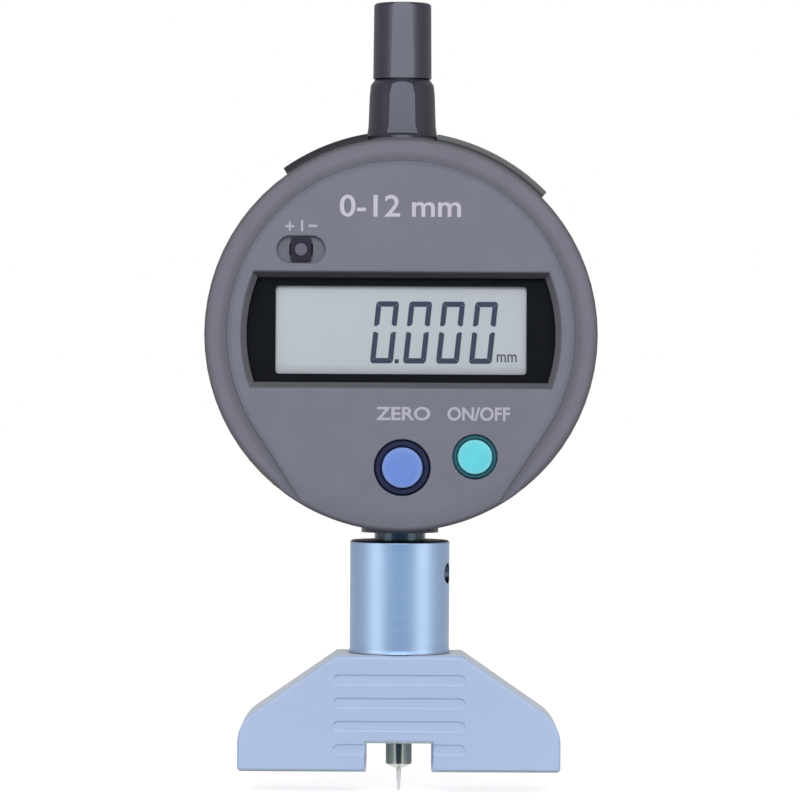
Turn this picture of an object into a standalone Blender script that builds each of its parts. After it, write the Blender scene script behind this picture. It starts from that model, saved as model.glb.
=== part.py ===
"""Digital depth gauge, built as separate pieces at their real size.

Metres, +Z up, front towards -Y. The stem's axis is the Z axis, and the origin
is the tip of the free needle, under the middle of the part.
"""
import math

import bmesh
import bpy
from mathutils import Vector

# Fits that many pieces share
SEAT_GAP = 0.0003
RUNNING_GAP = 0.0001
HOLE_GAP = 0.00015
CUT_OVERRUN = 0.002
JOIN_OVERLAP = 0.0004

# Segments round a full turn
FEW_SEGMENTS = 12
SOME_SEGMENTS = 20
MANY_SEGMENTS = 28
BODY_SEGMENTS = 72
CORNER_STEPS = 6

# Needle and contact point
NEEDLE_REACH = 0.0035
NEEDLE_TIP_RADIUS = 0.0002
NEEDLE_ROOT_RADIUS = 0.0004
NEEDLE_SHANK_LENGTH = 0.0016
CONTACT_RISE = 0.0001
CONTACT_RADIUS = 0.00205
CONTACT_LENGTH = 0.0086
CONTACT_CONE_LENGTH = 0.0006
CONTACT_NOSE_RADIUS = 0.001

# Base foot
BASE_WIDTH = 0.050
BASE_DEPTH = 0.016
BASE_HEIGHT = 0.018
BASE_TOP_WIDTH = 0.0196
BASE_SLOPE = math.radians(34.6)
BASE_CORNER_RADIUS = 0.0062
BASE_CHAMFER = 0.0007
NOTCH_WIDTH = 0.0101
NOTCH_DEPTH = 0.0044
GROOVE_LENGTH = 0.0203
GROOVE_WIDTH = 0.00155
GROOVE_DEPTH = 0.0004
GROOVE_COUNT = 4
GROOVE_PITCH = 0.00358
GROOVE_TOP_DROP = 0.0038

# Collar and clamp screw
COLLAR_INSET = 0.00025
COLLAR_HEIGHT = 0.0176
COLLAR_CHAMFER = 0.0005
SPIGOT_RADIUS = 0.0055
SPIGOT_LENGTH = 0.006
CLAMP_SCREW_RADIUS = 0.0015
CLAMP_SCREW_DROP = 0.0051
CLAMP_SCREW_TURN = math.radians(15)
CLAMP_SCREW_RECESS = 0.0006
CLAMP_SOCKET_RADIUS = 0.0009
CLAMP_SOCKET_DEPTH = 0.0013

# Stem, bushings and spindle
STEM_RADIUS = 0.004
STEM_BORE_RADIUS = 0.0033
STEM_GRIP = 0.0145
STEM_SEAT = 0.0067
STEM_END_ROOM = 0.0013
LOWER_BUSHING_LENGTH = 0.007
UPPER_BUSHING_RADIUS = 0.0037
UPPER_BUSHING_INSIDE = 0.0028
UPPER_BUSHING_IN_CAP = 0.0030
SPINDLE_RADIUS = 0.0024
SPINDLE_TRAVEL = 0.012
SPINDLE_END_ROOM = 0.0007
BASE_BORE_CLEARANCE = 0.0004

# Round body
BODY_RADIUS = 0.03025
BODY_WALL = 0.00225
BODY_ROUNDING = 0.0009
BODY_FRONT = 0.01145
BODY_REAR = 0.0097
FACE_FRONT = 0.0117
FACE_THICKNESS = 0.0018
RIM_WIDTH = 0.00345
FACE_FLANK_TURN = math.radians(118)
FACE_LEDGE = 0.0012
FACE_LEDGE_THICKNESS = 0.0012
NECK_GAP = 0.0012
BOSS_DROP = 0.00045
BOSS_RADIUS = 0.006
INNER_BOSS_RADIUS = 0.0052
TOP_BOSS_RADIUS = 0.0057
TOP_BOSS_RISE = 0.00035
TOP_BOSS_INSIDE = 0.0014

# Cap on top
SLEEVE_TOP_RADIUS = 0.00505
SLEEVE_FOOT_RADIUS = 0.0055
SLEEVE_LENGTH = 0.009
SLEEVE_CHAMFER = 0.0003
CAP_TOP_RADIUS = 0.00445
CAP_FOOT_RADIUS = 0.00455
CAP_LENGTH = 0.01165
CAP_ROUNDING = 0.0006
CAP_WALL = 0.0012
CAP_BORE_RADIUS = 0.0029

# Raised covers on the rim, turned clockwise from the top
COVER_RISE = 0.0012
COVER_THICKNESS = 0.00195
COVER_HALF_DEPTH = 0.008
DATA_COVER_START = math.radians(-35.5)
DATA_COVER_END = math.radians(-9.8)
BATTERY_COVER_START = math.radians(10.2)
BATTERY_COVER_END = math.radians(45.3)

# Window and display, measured from the body's centre
WINDOW_TOP = 0.0086
WINDOW_BOTTOM = -0.0072
WINDOW_SIDE_MARGIN = 0.0032
WINDOW_BEVEL = 0.0012
WINDOW_DEPTH = 0.0008
LENS_THICKNESS = 0.001
MASK_THICKNESS = 0.0004
MASK_OVERLAP = 0.0009
DISPLAY_SIDE_MARGIN = 0.0043
DISPLAY_EDGE_MARGIN = 0.00115
DISPLAY_CORNER = 0.0005
LCD_SIDE_BORDER = 0.0012
LCD_EDGE_BORDER = 0.00085
LCD_THICKNESS = 0.0018
HOLDER_WALL = 0.0016
STRIP_THICKNESS = 0.0012
STRIP_END_ROOM = 0.0025

# Buttons, with their places from the body's centre as shares of the face's radius
ORIGIN_BUTTON_SHARES = (0.0112, -0.7612)
ORIGIN_BUTTON_RADIUS = 0.0031
ORIGIN_SEAL_RADIUS = 0.0042
POWER_BUTTON_SHARES = (0.4272, -0.6978)
POWER_BUTTON_RADIUS = 0.00265
POWER_SEAL_RADIUS = 0.0033
BUTTON_PROUD = 0.0003
BUTTON_LENGTH = 0.0039
BUTTON_FLANGE_EXTRA = 0.0009
BUTTON_FLANGE_THICKNESS = 0.0006
BUTTON_FLANGE_SETBACK = 0.0004
BUTTON_STEM_RADIUS = 0.0014
BUTTON_TRAVEL = 0.0005
SEAL_RECESS = 0.0003
SEAL_THICKNESS = 0.0013
SWITCH_WIDTH = 0.0045
SWITCH_PLUNGER_RADIUS = 0.001
SWITCH_PLUNGER_RISE = 0.0004

# Slide for the counting direction
SLIDE_EDGE_MARGIN = 0.00365
SLIDE_WINDOW_GAP = 0.0011
SLIDE_RECESS_LENGTH = 0.0075
SLIDE_RECESS_HEIGHT = 0.0042
SLIDE_RECESS_DEPTH = 0.0008
SLIDE_KNOB_WIDTH = 0.0032
SLIDE_KNOB_HEIGHT = 0.0036
SLIDE_KNOB_THICKNESS = 0.00055
SLIDE_NECK_WIDTH = 0.0012
SLIDE_TRAVEL = 0.0009
SLIDE_BODY_WIDTH = 0.0072
SLIDE_BODY_HEIGHT = 0.0038
SLIDE_BODY_THICKNESS = 0.0026

# Main board, behind the face
BOARD_SETBACK = 0.0063
BOARD_THICKNESS = 0.001
BOARD_EDGE_ROOM = 0.003
BOARD_FOOT_ROOM = 0.001
BOARD_BOSS_RADIUS = 0.002
BOARD_SCREW_SHARES = ((0.14, 0.7), (0.7, -0.54), (-0.56, -0.6))

# Small screws
SMALL_SCREW_RADIUS = 0.0008
SMALL_SCREW_HEAD_RADIUS = 0.0016
SMALL_SCREW_HEAD_HEIGHT = 0.0008
SMALL_SCREW_LENGTH = 0.0026
SCREW_SLOT_WIDTH = 0.0005
SCREW_SLOT_DEPTH = 0.0004

# Rear cover
REAR_COVER_THICKNESS = 0.002
REAR_SCREW_INSET = 0.00485
REAR_SCREW_TURNS = (math.radians(60), math.radians(120), math.radians(240), math.radians(300))
REAR_SCREW_RADIUS = 0.001
REAR_SCREW_HEAD_RADIUS = 0.0021
REAR_SCREW_HEAD_HEIGHT = 0.0009
REAR_SCREW_LENGTH = 0.006
REAR_BOSS_RADIUS = 0.003
REAR_BOSS_LENGTH = 0.0128
GASKET_INSET = 0.00115
GASKET_WIDTH = 0.0007
GASKET_DEPTH = 0.0006

# Scale and its carrier, measured from the body's centre
HUB_TOP = 0.0005
HUB_BOTTOM = -0.0075
HUB_HALF_WIDTH = 0.005
HUB_FRONT = 0.0036
HUB_REAR = 0.0046
CARRIER_HEAD_ROOM = 0.0007
CARRIER_FOOT_ROOM = 0.0065
CARRIER_PLATE_HALF_WIDTH = 0.0046
CARRIER_PLATE_THICKNESS = 0.0014
CARRIER_SCREW_RADIUS = 0.001
CARRIER_SCREW_DROP = 0.0055
SCALE_THICKNESS = 0.0008
SCALE_MARGIN = 0.0006
DETECTOR_LEFT = -0.010
DETECTOR_RIGHT = 0.0058
DETECTOR_TOP = 0.0115
DETECTOR_BOTTOM = -0.0105
DETECTOR_GAP = 0.0005
DETECTOR_THICKNESS = 0.001
DETECTOR_SCREW_INSET = 0.0022

# Anti-rotation pin and its slotted plate
GUIDE_PIN_RADIUS = 0.001
GUIDE_PIN_LENGTH = 0.0066
GUIDE_PIN_DROP = 0.0035
GUIDE_PIN_SINK = 0.0018
GUIDE_PLATE_X = 0.0066
GUIDE_PLATE_THICKNESS = 0.0012
GUIDE_PLATE_HALF_DEPTH = 0.0028
GUIDE_PLATE_REAR = 0.0081
GUIDE_PLATE_MARGIN = 0.0032
GUIDE_FLANGE_REACH = 0.0052
GUIDE_SLOT_ROOM = 0.0003

# Return spring
SPRING_X = -0.0076
SPRING_COIL_RADIUS = 0.0013
SPRING_WIRE_RADIUS = 0.00018
SPRING_TURNS = 11
SPRING_POINTS_A_TURN = 9
SPRING_POST_RADIUS = 0.00075
SPRING_POST_DROP = 0.0015
SPRING_POST_TIP = 0.0014
SPRING_ANCHOR_DROP = 0.0173
SPRING_ANCHOR_RADIUS = 0.0008
SPRING_ANCHOR_TIP = 0.0014

# Battery under its cover
BATTERY_TURN = math.radians(32)
BATTERY_Y = 0.0018
BATTERY_RADIUS = 0.0058
BATTERY_THICKNESS = 0.0054
BATTERY_COVER_ROOM = 0.0003
BATTERY_CLEARANCE = 0.0003
HOLDER_CUP_WALL = 0.0008
HOLDER_CUP_FLOOR = 0.001
HOLDER_CUP_SETBACK = 0.0027
CONTACT_PLATE_THICKNESS = 0.0004
CONTACT_PLATE_RADIUS = 0.003
SIDE_CONTACT_HALF_WIDTH = 0.0012

# Data connector under its cover
DATA_TURN = math.radians(-22.5)
DATA_HALF_WIDTH = 0.0042
DATA_DEPTH = 0.0051
DATA_LENGTH = 0.0078
DATA_COVER_ROOM = 0.0005
DATA_MOUTH_HALF_WIDTH = 0.0034
DATA_MOUTH_HALF_HEIGHT = 0.0015
DATA_MOUTH_DEPTH = 0.004

# Levels on the stem's axis
BASE_FACE = NEEDLE_REACH
BASE_TOP = BASE_FACE + BASE_HEIGHT
COLLAR_TOP = BASE_TOP + COLLAR_HEIGHT
BOSS_BOTTOM = COLLAR_TOP + NECK_GAP
BODY_CENTRE = BOSS_BOTTOM + BOSS_DROP + BODY_RADIUS
BODY_TOP = BODY_CENTRE + BODY_RADIUS
SLEEVE_BOTTOM = BODY_TOP + TOP_BOSS_RISE + SEAT_GAP
SEAM = SLEEVE_BOTTOM + SLEEVE_LENGTH
CAP_BOTTOM = SEAM + HOLE_GAP
CAP_TOP = CAP_BOTTOM + CAP_LENGTH
STEM_BOTTOM = COLLAR_TOP - STEM_GRIP
STEM_TOP = BOSS_BOTTOM + STEM_SEAT
CONTACT_BOTTOM = BASE_FACE + CONTACT_RISE
CONTACT_TOP = CONTACT_BOTTOM + CONTACT_LENGTH
SPINDLE_BOTTOM = CONTACT_TOP + SEAT_GAP
SPINDLE_TOP = CAP_TOP - CAP_WALL - SPINDLE_TRAVEL - SPINDLE_END_ROOM

# Levels from front to back, as distances in front of the stem's axis
FACE_BACK = FACE_FRONT - FACE_THICKNESS
LEDGE_FRONT = FACE_BACK - SEAT_GAP
LEDGE_BACK = LEDGE_FRONT - FACE_LEDGE_THICKNESS
LENS_FRONT = FACE_FRONT - WINDOW_DEPTH
LENS_BACK = LENS_FRONT - LENS_THICKNESS
MASK_FRONT = LENS_BACK - SEAT_GAP
MASK_BACK = MASK_FRONT - MASK_THICKNESS
LCD_FRONT = MASK_BACK - SEAT_GAP
LCD_BACK = LCD_FRONT - LCD_THICKNESS
BOARD_FRONT = FACE_FRONT - BOARD_SETBACK
BOARD_BACK = BOARD_FRONT - BOARD_THICKNESS
REAR_COVER_INSIDE = -(BODY_REAR + SEAT_GAP)
REAR_COVER_OUTSIDE = REAR_COVER_INSIDE - REAR_COVER_THICKNESS

# Radii from the stem's axis
COLLAR_RADIUS = BASE_DEPTH / 2 - COLLAR_INSET

# Radii and places from the body's centre
BODY_INSIDE = BODY_RADIUS - BODY_WALL
FACE_RADIUS = BODY_RADIUS - RIM_WIDTH
WINDOW_SIDE_RADIUS = FACE_RADIUS - WINDOW_SIDE_MARGIN
DISPLAY_WIDTH = 2 * (WINDOW_SIDE_RADIUS - DISPLAY_SIDE_MARGIN)
DISPLAY_HEIGHT = WINDOW_TOP - WINDOW_BOTTOM - 2 * DISPLAY_EDGE_MARGIN
LCD_WIDTH = DISPLAY_WIDTH + 2 * LCD_SIDE_BORDER
LCD_HEIGHT = DISPLAY_HEIGHT + 2 * LCD_EDGE_BORDER
SLIDE_RISE = WINDOW_TOP + WINDOW_BEVEL + SLIDE_WINDOW_GAP + SLIDE_RECESS_HEIGHT / 2
SLIDE_X = SLIDE_RECESS_LENGTH / 2 - math.sqrt((FACE_RADIUS - SLIDE_EDGE_MARGIN) ** 2 - SLIDE_RISE ** 2)
BOARD_RADIUS = BODY_INSIDE - BOARD_EDGE_ROOM
BOARD_FOOT_DROP = BODY_CENTRE - STEM_TOP - BOARD_FOOT_ROOM
REAR_SCREW_CIRCLE = BODY_RADIUS - REAR_SCREW_INSET
GASKET_MID_RADIUS = BODY_RADIUS - GASKET_INSET
CARRIER_PLATE_TOP = BODY_INSIDE - UPPER_BUSHING_INSIDE - SPINDLE_TRAVEL - CARRIER_HEAD_ROOM
CARRIER_PLATE_BOTTOM = STEM_TOP - BODY_CENTRE + CARRIER_FOOT_ROOM
COVER_OUTSIDE = BODY_RADIUS + COVER_RISE
COVER_INSIDE = COVER_OUTSIDE - COVER_THICKNESS
POCKET_FLOOR = COVER_INSIDE - SEAT_GAP
BATTERY_OUT = math.sqrt((COVER_INSIDE - BATTERY_COVER_ROOM) ** 2 - BATTERY_RADIUS ** 2)
BATTERY_IN = BATTERY_OUT - BATTERY_THICKNESS
DATA_OUT = math.sqrt((COVER_INSIDE - DATA_COVER_ROOM) ** 2 - DATA_HALF_WIDTH ** 2)
DATA_IN = DATA_OUT - DATA_LENGTH

# Turns that aim a piece's own +Z: up, to the front, to the rear, to the right
UP = (0, 0, 0)
FRONT = (math.pi / 2, 0, 0)
RIGHT = (0, math.pi / 2, 0)
LEFT = (0, -math.pi / 2, 0)

# Colour, roughness and metallic value of each finish
FINISHES = {
    "ground steel": ((0.45, 0.53, 0.71), 0.35, 0.7),
    "blued satin steel": ((0.25, 0.41, 0.64), 0.3, 0.8),
    "dark steel": ((0.07, 0.09, 0.1), 0.35, 0.8),
    "bright steel": ((0.62, 0.64, 0.66), 0.3, 0.9),
    "grey case": ((0.19, 0.19, 0.22), 0.55, 0.0),
    "dark grey plastic": ((0.06, 0.06, 0.07), 0.5, 0.0),
    "black plastic": ((0.01, 0.01, 0.012), 0.4, 0.0),
    "clear window": ((0.8, 0.83, 0.85), 0.05, 0.0),
    "display glass": ((0.42, 0.47, 0.49), 0.25, 0.0),
    "blue button": ((0.16, 0.26, 0.64), 0.45, 0.0),
    "cyan button": ((0.16, 0.66, 0.75), 0.45, 0.0),
    "dark blue rubber": ((0.02, 0.03, 0.06), 0.6, 0.0),
    "dark green rubber": ((0.04, 0.11, 0.14), 0.6, 0.0),
    "black rubber": ((0.02, 0.02, 0.02), 0.8, 0.0),
    "grey elastomer": ((0.3, 0.3, 0.32), 0.7, 0.0),
    "green board": ((0.03, 0.2, 0.09), 0.5, 0.0),
    "scale board": ((0.35, 0.27, 0.1), 0.4, 0.3),
    "brass": ((0.6, 0.44, 0.18), 0.35, 0.9),
    "white plastic": ((0.7, 0.7, 0.68), 0.5, 0.0),
}

PARTS = "depth_gauge"
CUTTERS = "depth_gauge_cutters"


def clear_objects():
    """Start from an empty scene."""
    for obj in list(bpy.data.objects):
        bpy.data.objects.remove(obj)


def make_collections():
    """One collection for the pieces and one for the cutters."""
    for name in (PARTS, CUTTERS):
        collection = bpy.data.collections.new(name)
        bpy.context.scene.collection.children.link(collection)


def make_material(piece, finish):
    """A material of its own for each piece."""
    colour, roughness, metallic = FINISHES[finish]
    material = bpy.data.materials.new(piece + "_" + finish.replace(" ", "_"))
    material.use_nodes = True
    shader = material.node_tree.nodes["Principled BSDF"]
    shader.inputs["Base Color"].default_value = (*colour, 1)
    shader.inputs["Roughness"].default_value = roughness
    shader.inputs["Metallic"].default_value = metallic
    material.diffuse_color = (*colour, 1)
    return material


def add_object(name, data, finish, place, turn):
    """Put a piece in the scene, or a cutter where there is no finish."""
    obj = bpy.data.objects.new(name, data)
    obj.location = place
    obj.rotation_euler = turn
    if finish is None:
        obj.hide_render = True
        obj.display_type = "WIRE"
        bpy.data.collections[CUTTERS].objects.link(obj)
    else:
        data.materials.append(make_material(name, finish))
        bpy.data.collections[PARTS].objects.link(obj)
    return obj


def smooth(mesh):
    """Shade round sides smooth and keep the real edges."""
    mesh.shade_smooth()
    mesh.set_sharp_from_angle(angle=math.radians(35))


def block(name, finish, low, high, place=(0, 0, 0), turn=UP):
    """A box between two corners in its own axes."""
    low, high = Vector(low), Vector(high)
    bm = bmesh.new()
    bmesh.ops.create_cube(bm, size=1)
    bmesh.ops.scale(bm, vec=high - low, verts=bm.verts)
    bmesh.ops.translate(bm, vec=(low + high) / 2, verts=bm.verts)
    mesh = bpy.data.meshes.new(name)
    bm.to_mesh(mesh)
    bm.free()
    return add_object(name, mesh, finish, place, turn)


def rod(name, finish, radius, low, high, place=(0, 0, 0), turn=UP, segments=SOME_SEGMENTS):
    """A cylinder along its own Z, between two levels."""
    bm = bmesh.new()
    bmesh.ops.create_cone(
        bm, cap_ends=True, segments=segments, radius1=radius, radius2=radius, depth=high - low
    )
    bmesh.ops.translate(bm, vec=(0, 0, (low + high) / 2), verts=bm.verts)
    mesh = bpy.data.meshes.new(name)
    bm.to_mesh(mesh)
    bm.free()
    smooth(mesh)
    return add_object(name, mesh, finish, place, turn)


def join_flat_faces(obj):
    """Make one face of the triangles that lie in one plane, so a bevel runs evenly."""
    flat = bmesh.new()
    flat.from_mesh(obj.data)
    bmesh.ops.dissolve_limit(flat, angle_limit=math.radians(1), verts=flat.verts, edges=flat.edges)
    flat.to_mesh(obj.data)
    flat.free()


def turned(name, finish, profile, place=(0, 0, 0), turn=UP, segments=SOME_SEGMENTS, hollow=False):
    """A piece turned about its own Z; the profile runs down its outer side.

    A hollow profile is a closed loop that comes back up the bore.
    """
    points = [(radius, 0, level) for radius, level in profile]
    edges = [(index, index + 1) for index in range(len(points) - 1)]
    if hollow:
        edges.append((len(points) - 1, 0))
    mesh = bpy.data.meshes.new(name)
    mesh.from_pydata(points, edges, [])
    obj = add_object(name, mesh, finish, place, turn)
    screw = obj.modifiers.new("Turning", "SCREW")
    screw.steps = segments
    screw.render_steps = segments
    screw.use_merge_vertices = True
    screw.merge_threshold = RUNNING_GAP / 10
    screw.use_smooth_shade = True
    return obj


def plate(name, finish, outlines, low, high, place=(0, 0, 0), turn=UP):
    """A flat outline, with any holes, between two levels of its own Z."""
    curve = bpy.data.curves.new(name, "CURVE")
    curve.dimensions = "2D"
    curve.fill_mode = "BOTH"
    curve.extrude = (high - low) / 2
    for outline in outlines:
        spline = curve.splines.new("POLY")
        spline.points.add(len(outline) - 1)
        spline.use_cyclic_u = True
        for point, (across, along) in zip(spline.points, outline):
            point.co = (across, along, 0, 1)
    sketch = bpy.data.objects.new(name + "_sketch", curve)
    bpy.context.scene.collection.objects.link(sketch)
    depsgraph = bpy.context.evaluated_depsgraph_get()
    mesh = bpy.data.meshes.new_from_object(sketch.evaluated_get(depsgraph))
    bpy.data.objects.remove(sketch)
    mesh.name = name
    bm = bmesh.new()
    bm.from_mesh(mesh)
    bmesh.ops.remove_doubles(bm, verts=bm.verts, dist=RUNNING_GAP / 10)
    bmesh.ops.translate(bm, vec=(0, 0, (low + high) / 2), verts=bm.verts)
    bm.to_mesh(mesh)
    bm.free()
    return add_object(name, mesh, finish, place, turn)


def loft(name, lower, upper, place, turn):
    """A cutter between two outlines of equally many points at two levels."""
    bm = bmesh.new()
    rings = []
    for outline, level in (lower, upper):
        rings.append([bm.verts.new((across, along, level)) for across, along in outline])
    bm.faces.new(rings[0])
    bm.faces.new(rings[1])
    count = len(rings[0])
    for index in range(count):
        following = (index + 1) % count
        bm.faces.new((rings[0][index], rings[0][following], rings[1][following], rings[1][index]))
    bmesh.ops.recalc_face_normals(bm, faces=bm.faces)
    mesh = bpy.data.meshes.new(name)
    bm.to_mesh(mesh)
    bm.free()
    return add_object(name, mesh, None, place, turn)


def combine(target, tool, operation):
    """Cut, join or trim a piece with another shape."""
    modifier = target.modifiers.new(tool.name, "BOOLEAN")
    modifier.operation = operation
    modifier.object = tool
    modifier.solver = "EXACT"


def cut(target, *tools):
    """Take the tools' shapes out of a piece."""
    for tool in tools:
        combine(target, tool, "DIFFERENCE")


def join(target, *tools):
    """Make the tools' shapes part of a piece."""
    for tool in tools:
        combine(target, tool, "UNION")


def arc(radius, start, end, steps, centre=(0, 0)):
    """Points on an arc, with angles measured clockwise from straight up."""
    points = []
    for step in range(steps + 1):
        angle = start + (end - start) * step / steps
        across = centre[0] + radius * math.sin(angle)
        along = centre[1] + radius * math.cos(angle)
        points.append((across, along))
    return points


def rounded_rectangle(width, height, corner, centre=(0, 0)):
    """A rectangle with round corners, clockwise."""
    across = width / 2 - corner
    along = height / 2 - corner
    quarter = math.pi / 2
    points = []
    for index, (side, end) in enumerate(((1, 1), (1, -1), (-1, -1), (-1, 1))):
        middle = (centre[0] + side * across, centre[1] + end * along)
        points += arc(corner, index * quarter, (index + 1) * quarter, CORNER_STEPS, middle)
    return points


def stadium(length, height, centre=(0, 0)):
    """A slot with round ends, lying along its length."""
    half = length / 2 - height / 2
    right = arc(height / 2, 0, math.pi, 2 * CORNER_STEPS, (centre[0] + half, centre[1]))
    left = arc(height / 2, math.pi, 2 * math.pi, 2 * CORNER_STEPS, (centre[0] - half, centre[1]))
    return right + left


def keyhole(circle_radius, edge_radius):
    """The face's outline: a circle whose straight flanks run out to the edge at the bottom."""
    flank = math.sqrt(edge_radius ** 2 - circle_radius ** 2)
    meeting = FACE_FLANK_TURN + math.atan2(flank, circle_radius)
    circle = arc(circle_radius, -FACE_FLANK_TURN, FACE_FLANK_TURN, BODY_SEGMENTS * 2 // 3)
    edge = arc(edge_radius, meeting, 2 * math.pi - meeting, BODY_SEGMENTS // 5)
    return circle + edge


def window_outline(extra):
    """Straight top and bottom, with sides concentric with the body."""
    radius = WINDOW_SIDE_RADIUS + extra
    top = WINDOW_TOP + extra
    bottom = WINDOW_BOTTOM - extra
    start = math.acos(top / radius)
    end = math.acos(bottom / radius)
    right = arc(radius, start, end, CORNER_STEPS)
    left = arc(radius, -end, -start, CORNER_STEPS)
    return right + left


def ring_sector(inner, outer, start, end):
    """Part of a ring between two turns."""
    steps = max(2, round((end - start) / math.radians(3)))
    return arc(outer, start, end, steps) + arc(inner, end, start, steps)


def at_body(across=0.0, rise=0.0):
    """A place on the body's own axis plane, from the body's centre."""
    return (across, 0, BODY_CENTRE + rise)


def envelope(name, finish, front, rear):
    """The body's turned outer form, with its front edge rounded."""
    rounding = arc(BODY_ROUNDING, 0, math.pi / 2, 4, (BODY_RADIUS - BODY_ROUNDING, front - BODY_ROUNDING))
    profile = [(0, front)] + rounding + [(BODY_RADIUS, rear), (0, rear)]
    return turned(name, finish, profile, at_body(), FRONT, BODY_SEGMENTS)


def build_base_foot():
    """The bridge base: measuring face, notch, sloped shoulders and grip grooves."""
    half_top = BASE_TOP_WIDTH / 2
    half_width = BASE_WIDTH / 2
    slope_drop = math.tan(BASE_SLOPE)
    corner_turn = math.pi / 2 - BASE_SLOPE
    corner_across = half_width - BASE_CORNER_RADIUS
    tangent_across = corner_across + BASE_CORNER_RADIUS * math.sin(BASE_SLOPE)
    tangent_level = BASE_TOP - (tangent_across - half_top) * slope_drop
    corner_level = tangent_level - BASE_CORNER_RADIUS * math.cos(BASE_SLOPE)
    right = arc(
        BASE_CORNER_RADIUS, math.pi / 2 - corner_turn, math.pi / 2, CORNER_STEPS, (corner_across, corner_level)
    )
    right = [(half_top, BASE_TOP)] + right + [(half_width, BASE_FACE)]
    left = [(-across, level) for across, level in reversed(right)]
    foot = plate("base_foot", "ground steel", [right + left], -BASE_DEPTH / 2, BASE_DEPTH / 2, turn=FRONT)
    join_flat_faces(foot)
    bevel = foot.modifiers.new("Edges", "BEVEL")
    bevel.width = BASE_CHAMFER
    bevel.segments = 1
    bevel.limit_method = "ANGLE"
    bevel.angle_limit = math.radians(60)
    notch = block(
        "notch_cutter",
        None,
        (-NOTCH_WIDTH / 2, -BASE_DEPTH, BASE_FACE - CUT_OVERRUN),
        (NOTCH_WIDTH / 2, BASE_DEPTH, BASE_FACE + NOTCH_DEPTH),
    )
    cut(foot, notch)
    for index in range(GROOVE_COUNT):
        level = BASE_TOP - GROOVE_TOP_DROP - index * GROOVE_PITCH
        outline = stadium(GROOVE_LENGTH, GROOVE_WIDTH)
        for side, floor in (("front", BASE_DEPTH / 2 - GROOVE_DEPTH), ("rear", -BASE_DEPTH / 2 - CUT_OVERRUN)):
            low, high = floor, floor + GROOVE_DEPTH + CUT_OVERRUN
            cut(foot, plate(f"groove_{side}_{index + 1}", None, [outline], low, high, (0, 0, level), FRONT))
    seat = rod(
        "spigot_seat_cutter",
        None,
        SPIGOT_RADIUS + HOLE_GAP,
        BASE_TOP - SPIGOT_LENGTH - SEAT_GAP,
        BASE_TOP + CUT_OVERRUN,
        segments=MANY_SEGMENTS,
    )
    bore = rod(
        "base_bore_cutter",
        None,
        SPINDLE_RADIUS + BASE_BORE_CLEARANCE,
        BASE_FACE,
        BASE_TOP,
    )
    cut(foot, seat, bore)
    return foot


def clamp_screw_turn():
    """The turn that aims a piece's own Z out along the clamp screw."""
    return (0, math.pi / 2, -CLAMP_SCREW_TURN)


def build_base_collar():
    """The turned collar that holds the stem, with its spigot in the base."""
    bore = SPINDLE_RADIUS + BASE_BORE_CLEARANCE
    stem_bore = STEM_RADIUS + HOLE_GAP
    shoulder = STEM_BOTTOM - STEM_END_ROOM
    profile = [
        (COLLAR_RADIUS - COLLAR_CHAMFER, COLLAR_TOP),
        (COLLAR_RADIUS, COLLAR_TOP - COLLAR_CHAMFER),
        (COLLAR_RADIUS, BASE_TOP + RUNNING_GAP),
        (SPIGOT_RADIUS, BASE_TOP + RUNNING_GAP),
        (SPIGOT_RADIUS, BASE_TOP - SPIGOT_LENGTH),
        (bore, BASE_TOP - SPIGOT_LENGTH),
        (bore, shoulder),
        (stem_bore, shoulder),
        (stem_bore, COLLAR_TOP),
    ]
    collar = turned("base_collar", "blued satin steel", profile, segments=BODY_SEGMENTS // 2, hollow=True)
    hole = rod(
        "clamp_hole_cutter",
        None,
        CLAMP_SCREW_RADIUS + RUNNING_GAP,
        STEM_RADIUS - SEAT_GAP,
        COLLAR_RADIUS + CUT_OVERRUN,
        (0, 0, COLLAR_TOP - CLAMP_SCREW_DROP),
        clamp_screw_turn(),
    )
    cut(collar, hole)
    return collar


def build_clamp_screw():
    """The set screw that grips the stem, with a hexagon socket."""
    place = (0, 0, COLLAR_TOP - CLAMP_SCREW_DROP)
    outer_end = COLLAR_RADIUS - CLAMP_SCREW_RECESS
    inner_end = STEM_RADIUS + SEAT_GAP
    screw = rod("clamp_screw", "dark steel", CLAMP_SCREW_RADIUS, inner_end, outer_end, place, clamp_screw_turn())
    socket = rod(
        "clamp_socket_cutter",
        None,
        CLAMP_SOCKET_RADIUS,
        outer_end - CLAMP_SOCKET_DEPTH,
        outer_end + CUT_OVERRUN,
        place,
        clamp_screw_turn(),
        segments=6,
    )
    cut(screw, socket)
    return screw


def build_contact():
    """The contact body and the needle that it holds."""
    hole_radius = NEEDLE_ROOT_RADIUS + RUNNING_GAP
    hole_end = CONTACT_BOTTOM + NEEDLE_SHANK_LENGTH + SEAT_GAP
    contact_profile = [
        (0, CONTACT_TOP),
        (CONTACT_RADIUS, CONTACT_TOP),
        (CONTACT_RADIUS, CONTACT_BOTTOM + CONTACT_CONE_LENGTH),
        (CONTACT_NOSE_RADIUS, CONTACT_BOTTOM),
        (hole_radius, CONTACT_BOTTOM),
        (hole_radius, hole_end),
        (0, hole_end),
    ]
    needle_profile = [
        (0, CONTACT_BOTTOM + NEEDLE_SHANK_LENGTH),
        (NEEDLE_ROOT_RADIUS, CONTACT_BOTTOM + NEEDLE_SHANK_LENGTH),
        (NEEDLE_ROOT_RADIUS, CONTACT_BOTTOM),
        (NEEDLE_TIP_RADIUS, NEEDLE_TIP_RADIUS),
        (NEEDLE_TIP_RADIUS / 2, 0),
        (0, 0),
    ]
    contact = turned("contact_point", "dark steel", contact_profile)
    needle = turned("contact_needle", "bright steel", needle_profile, segments=FEW_SEGMENTS)
    return [contact, needle]


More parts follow.
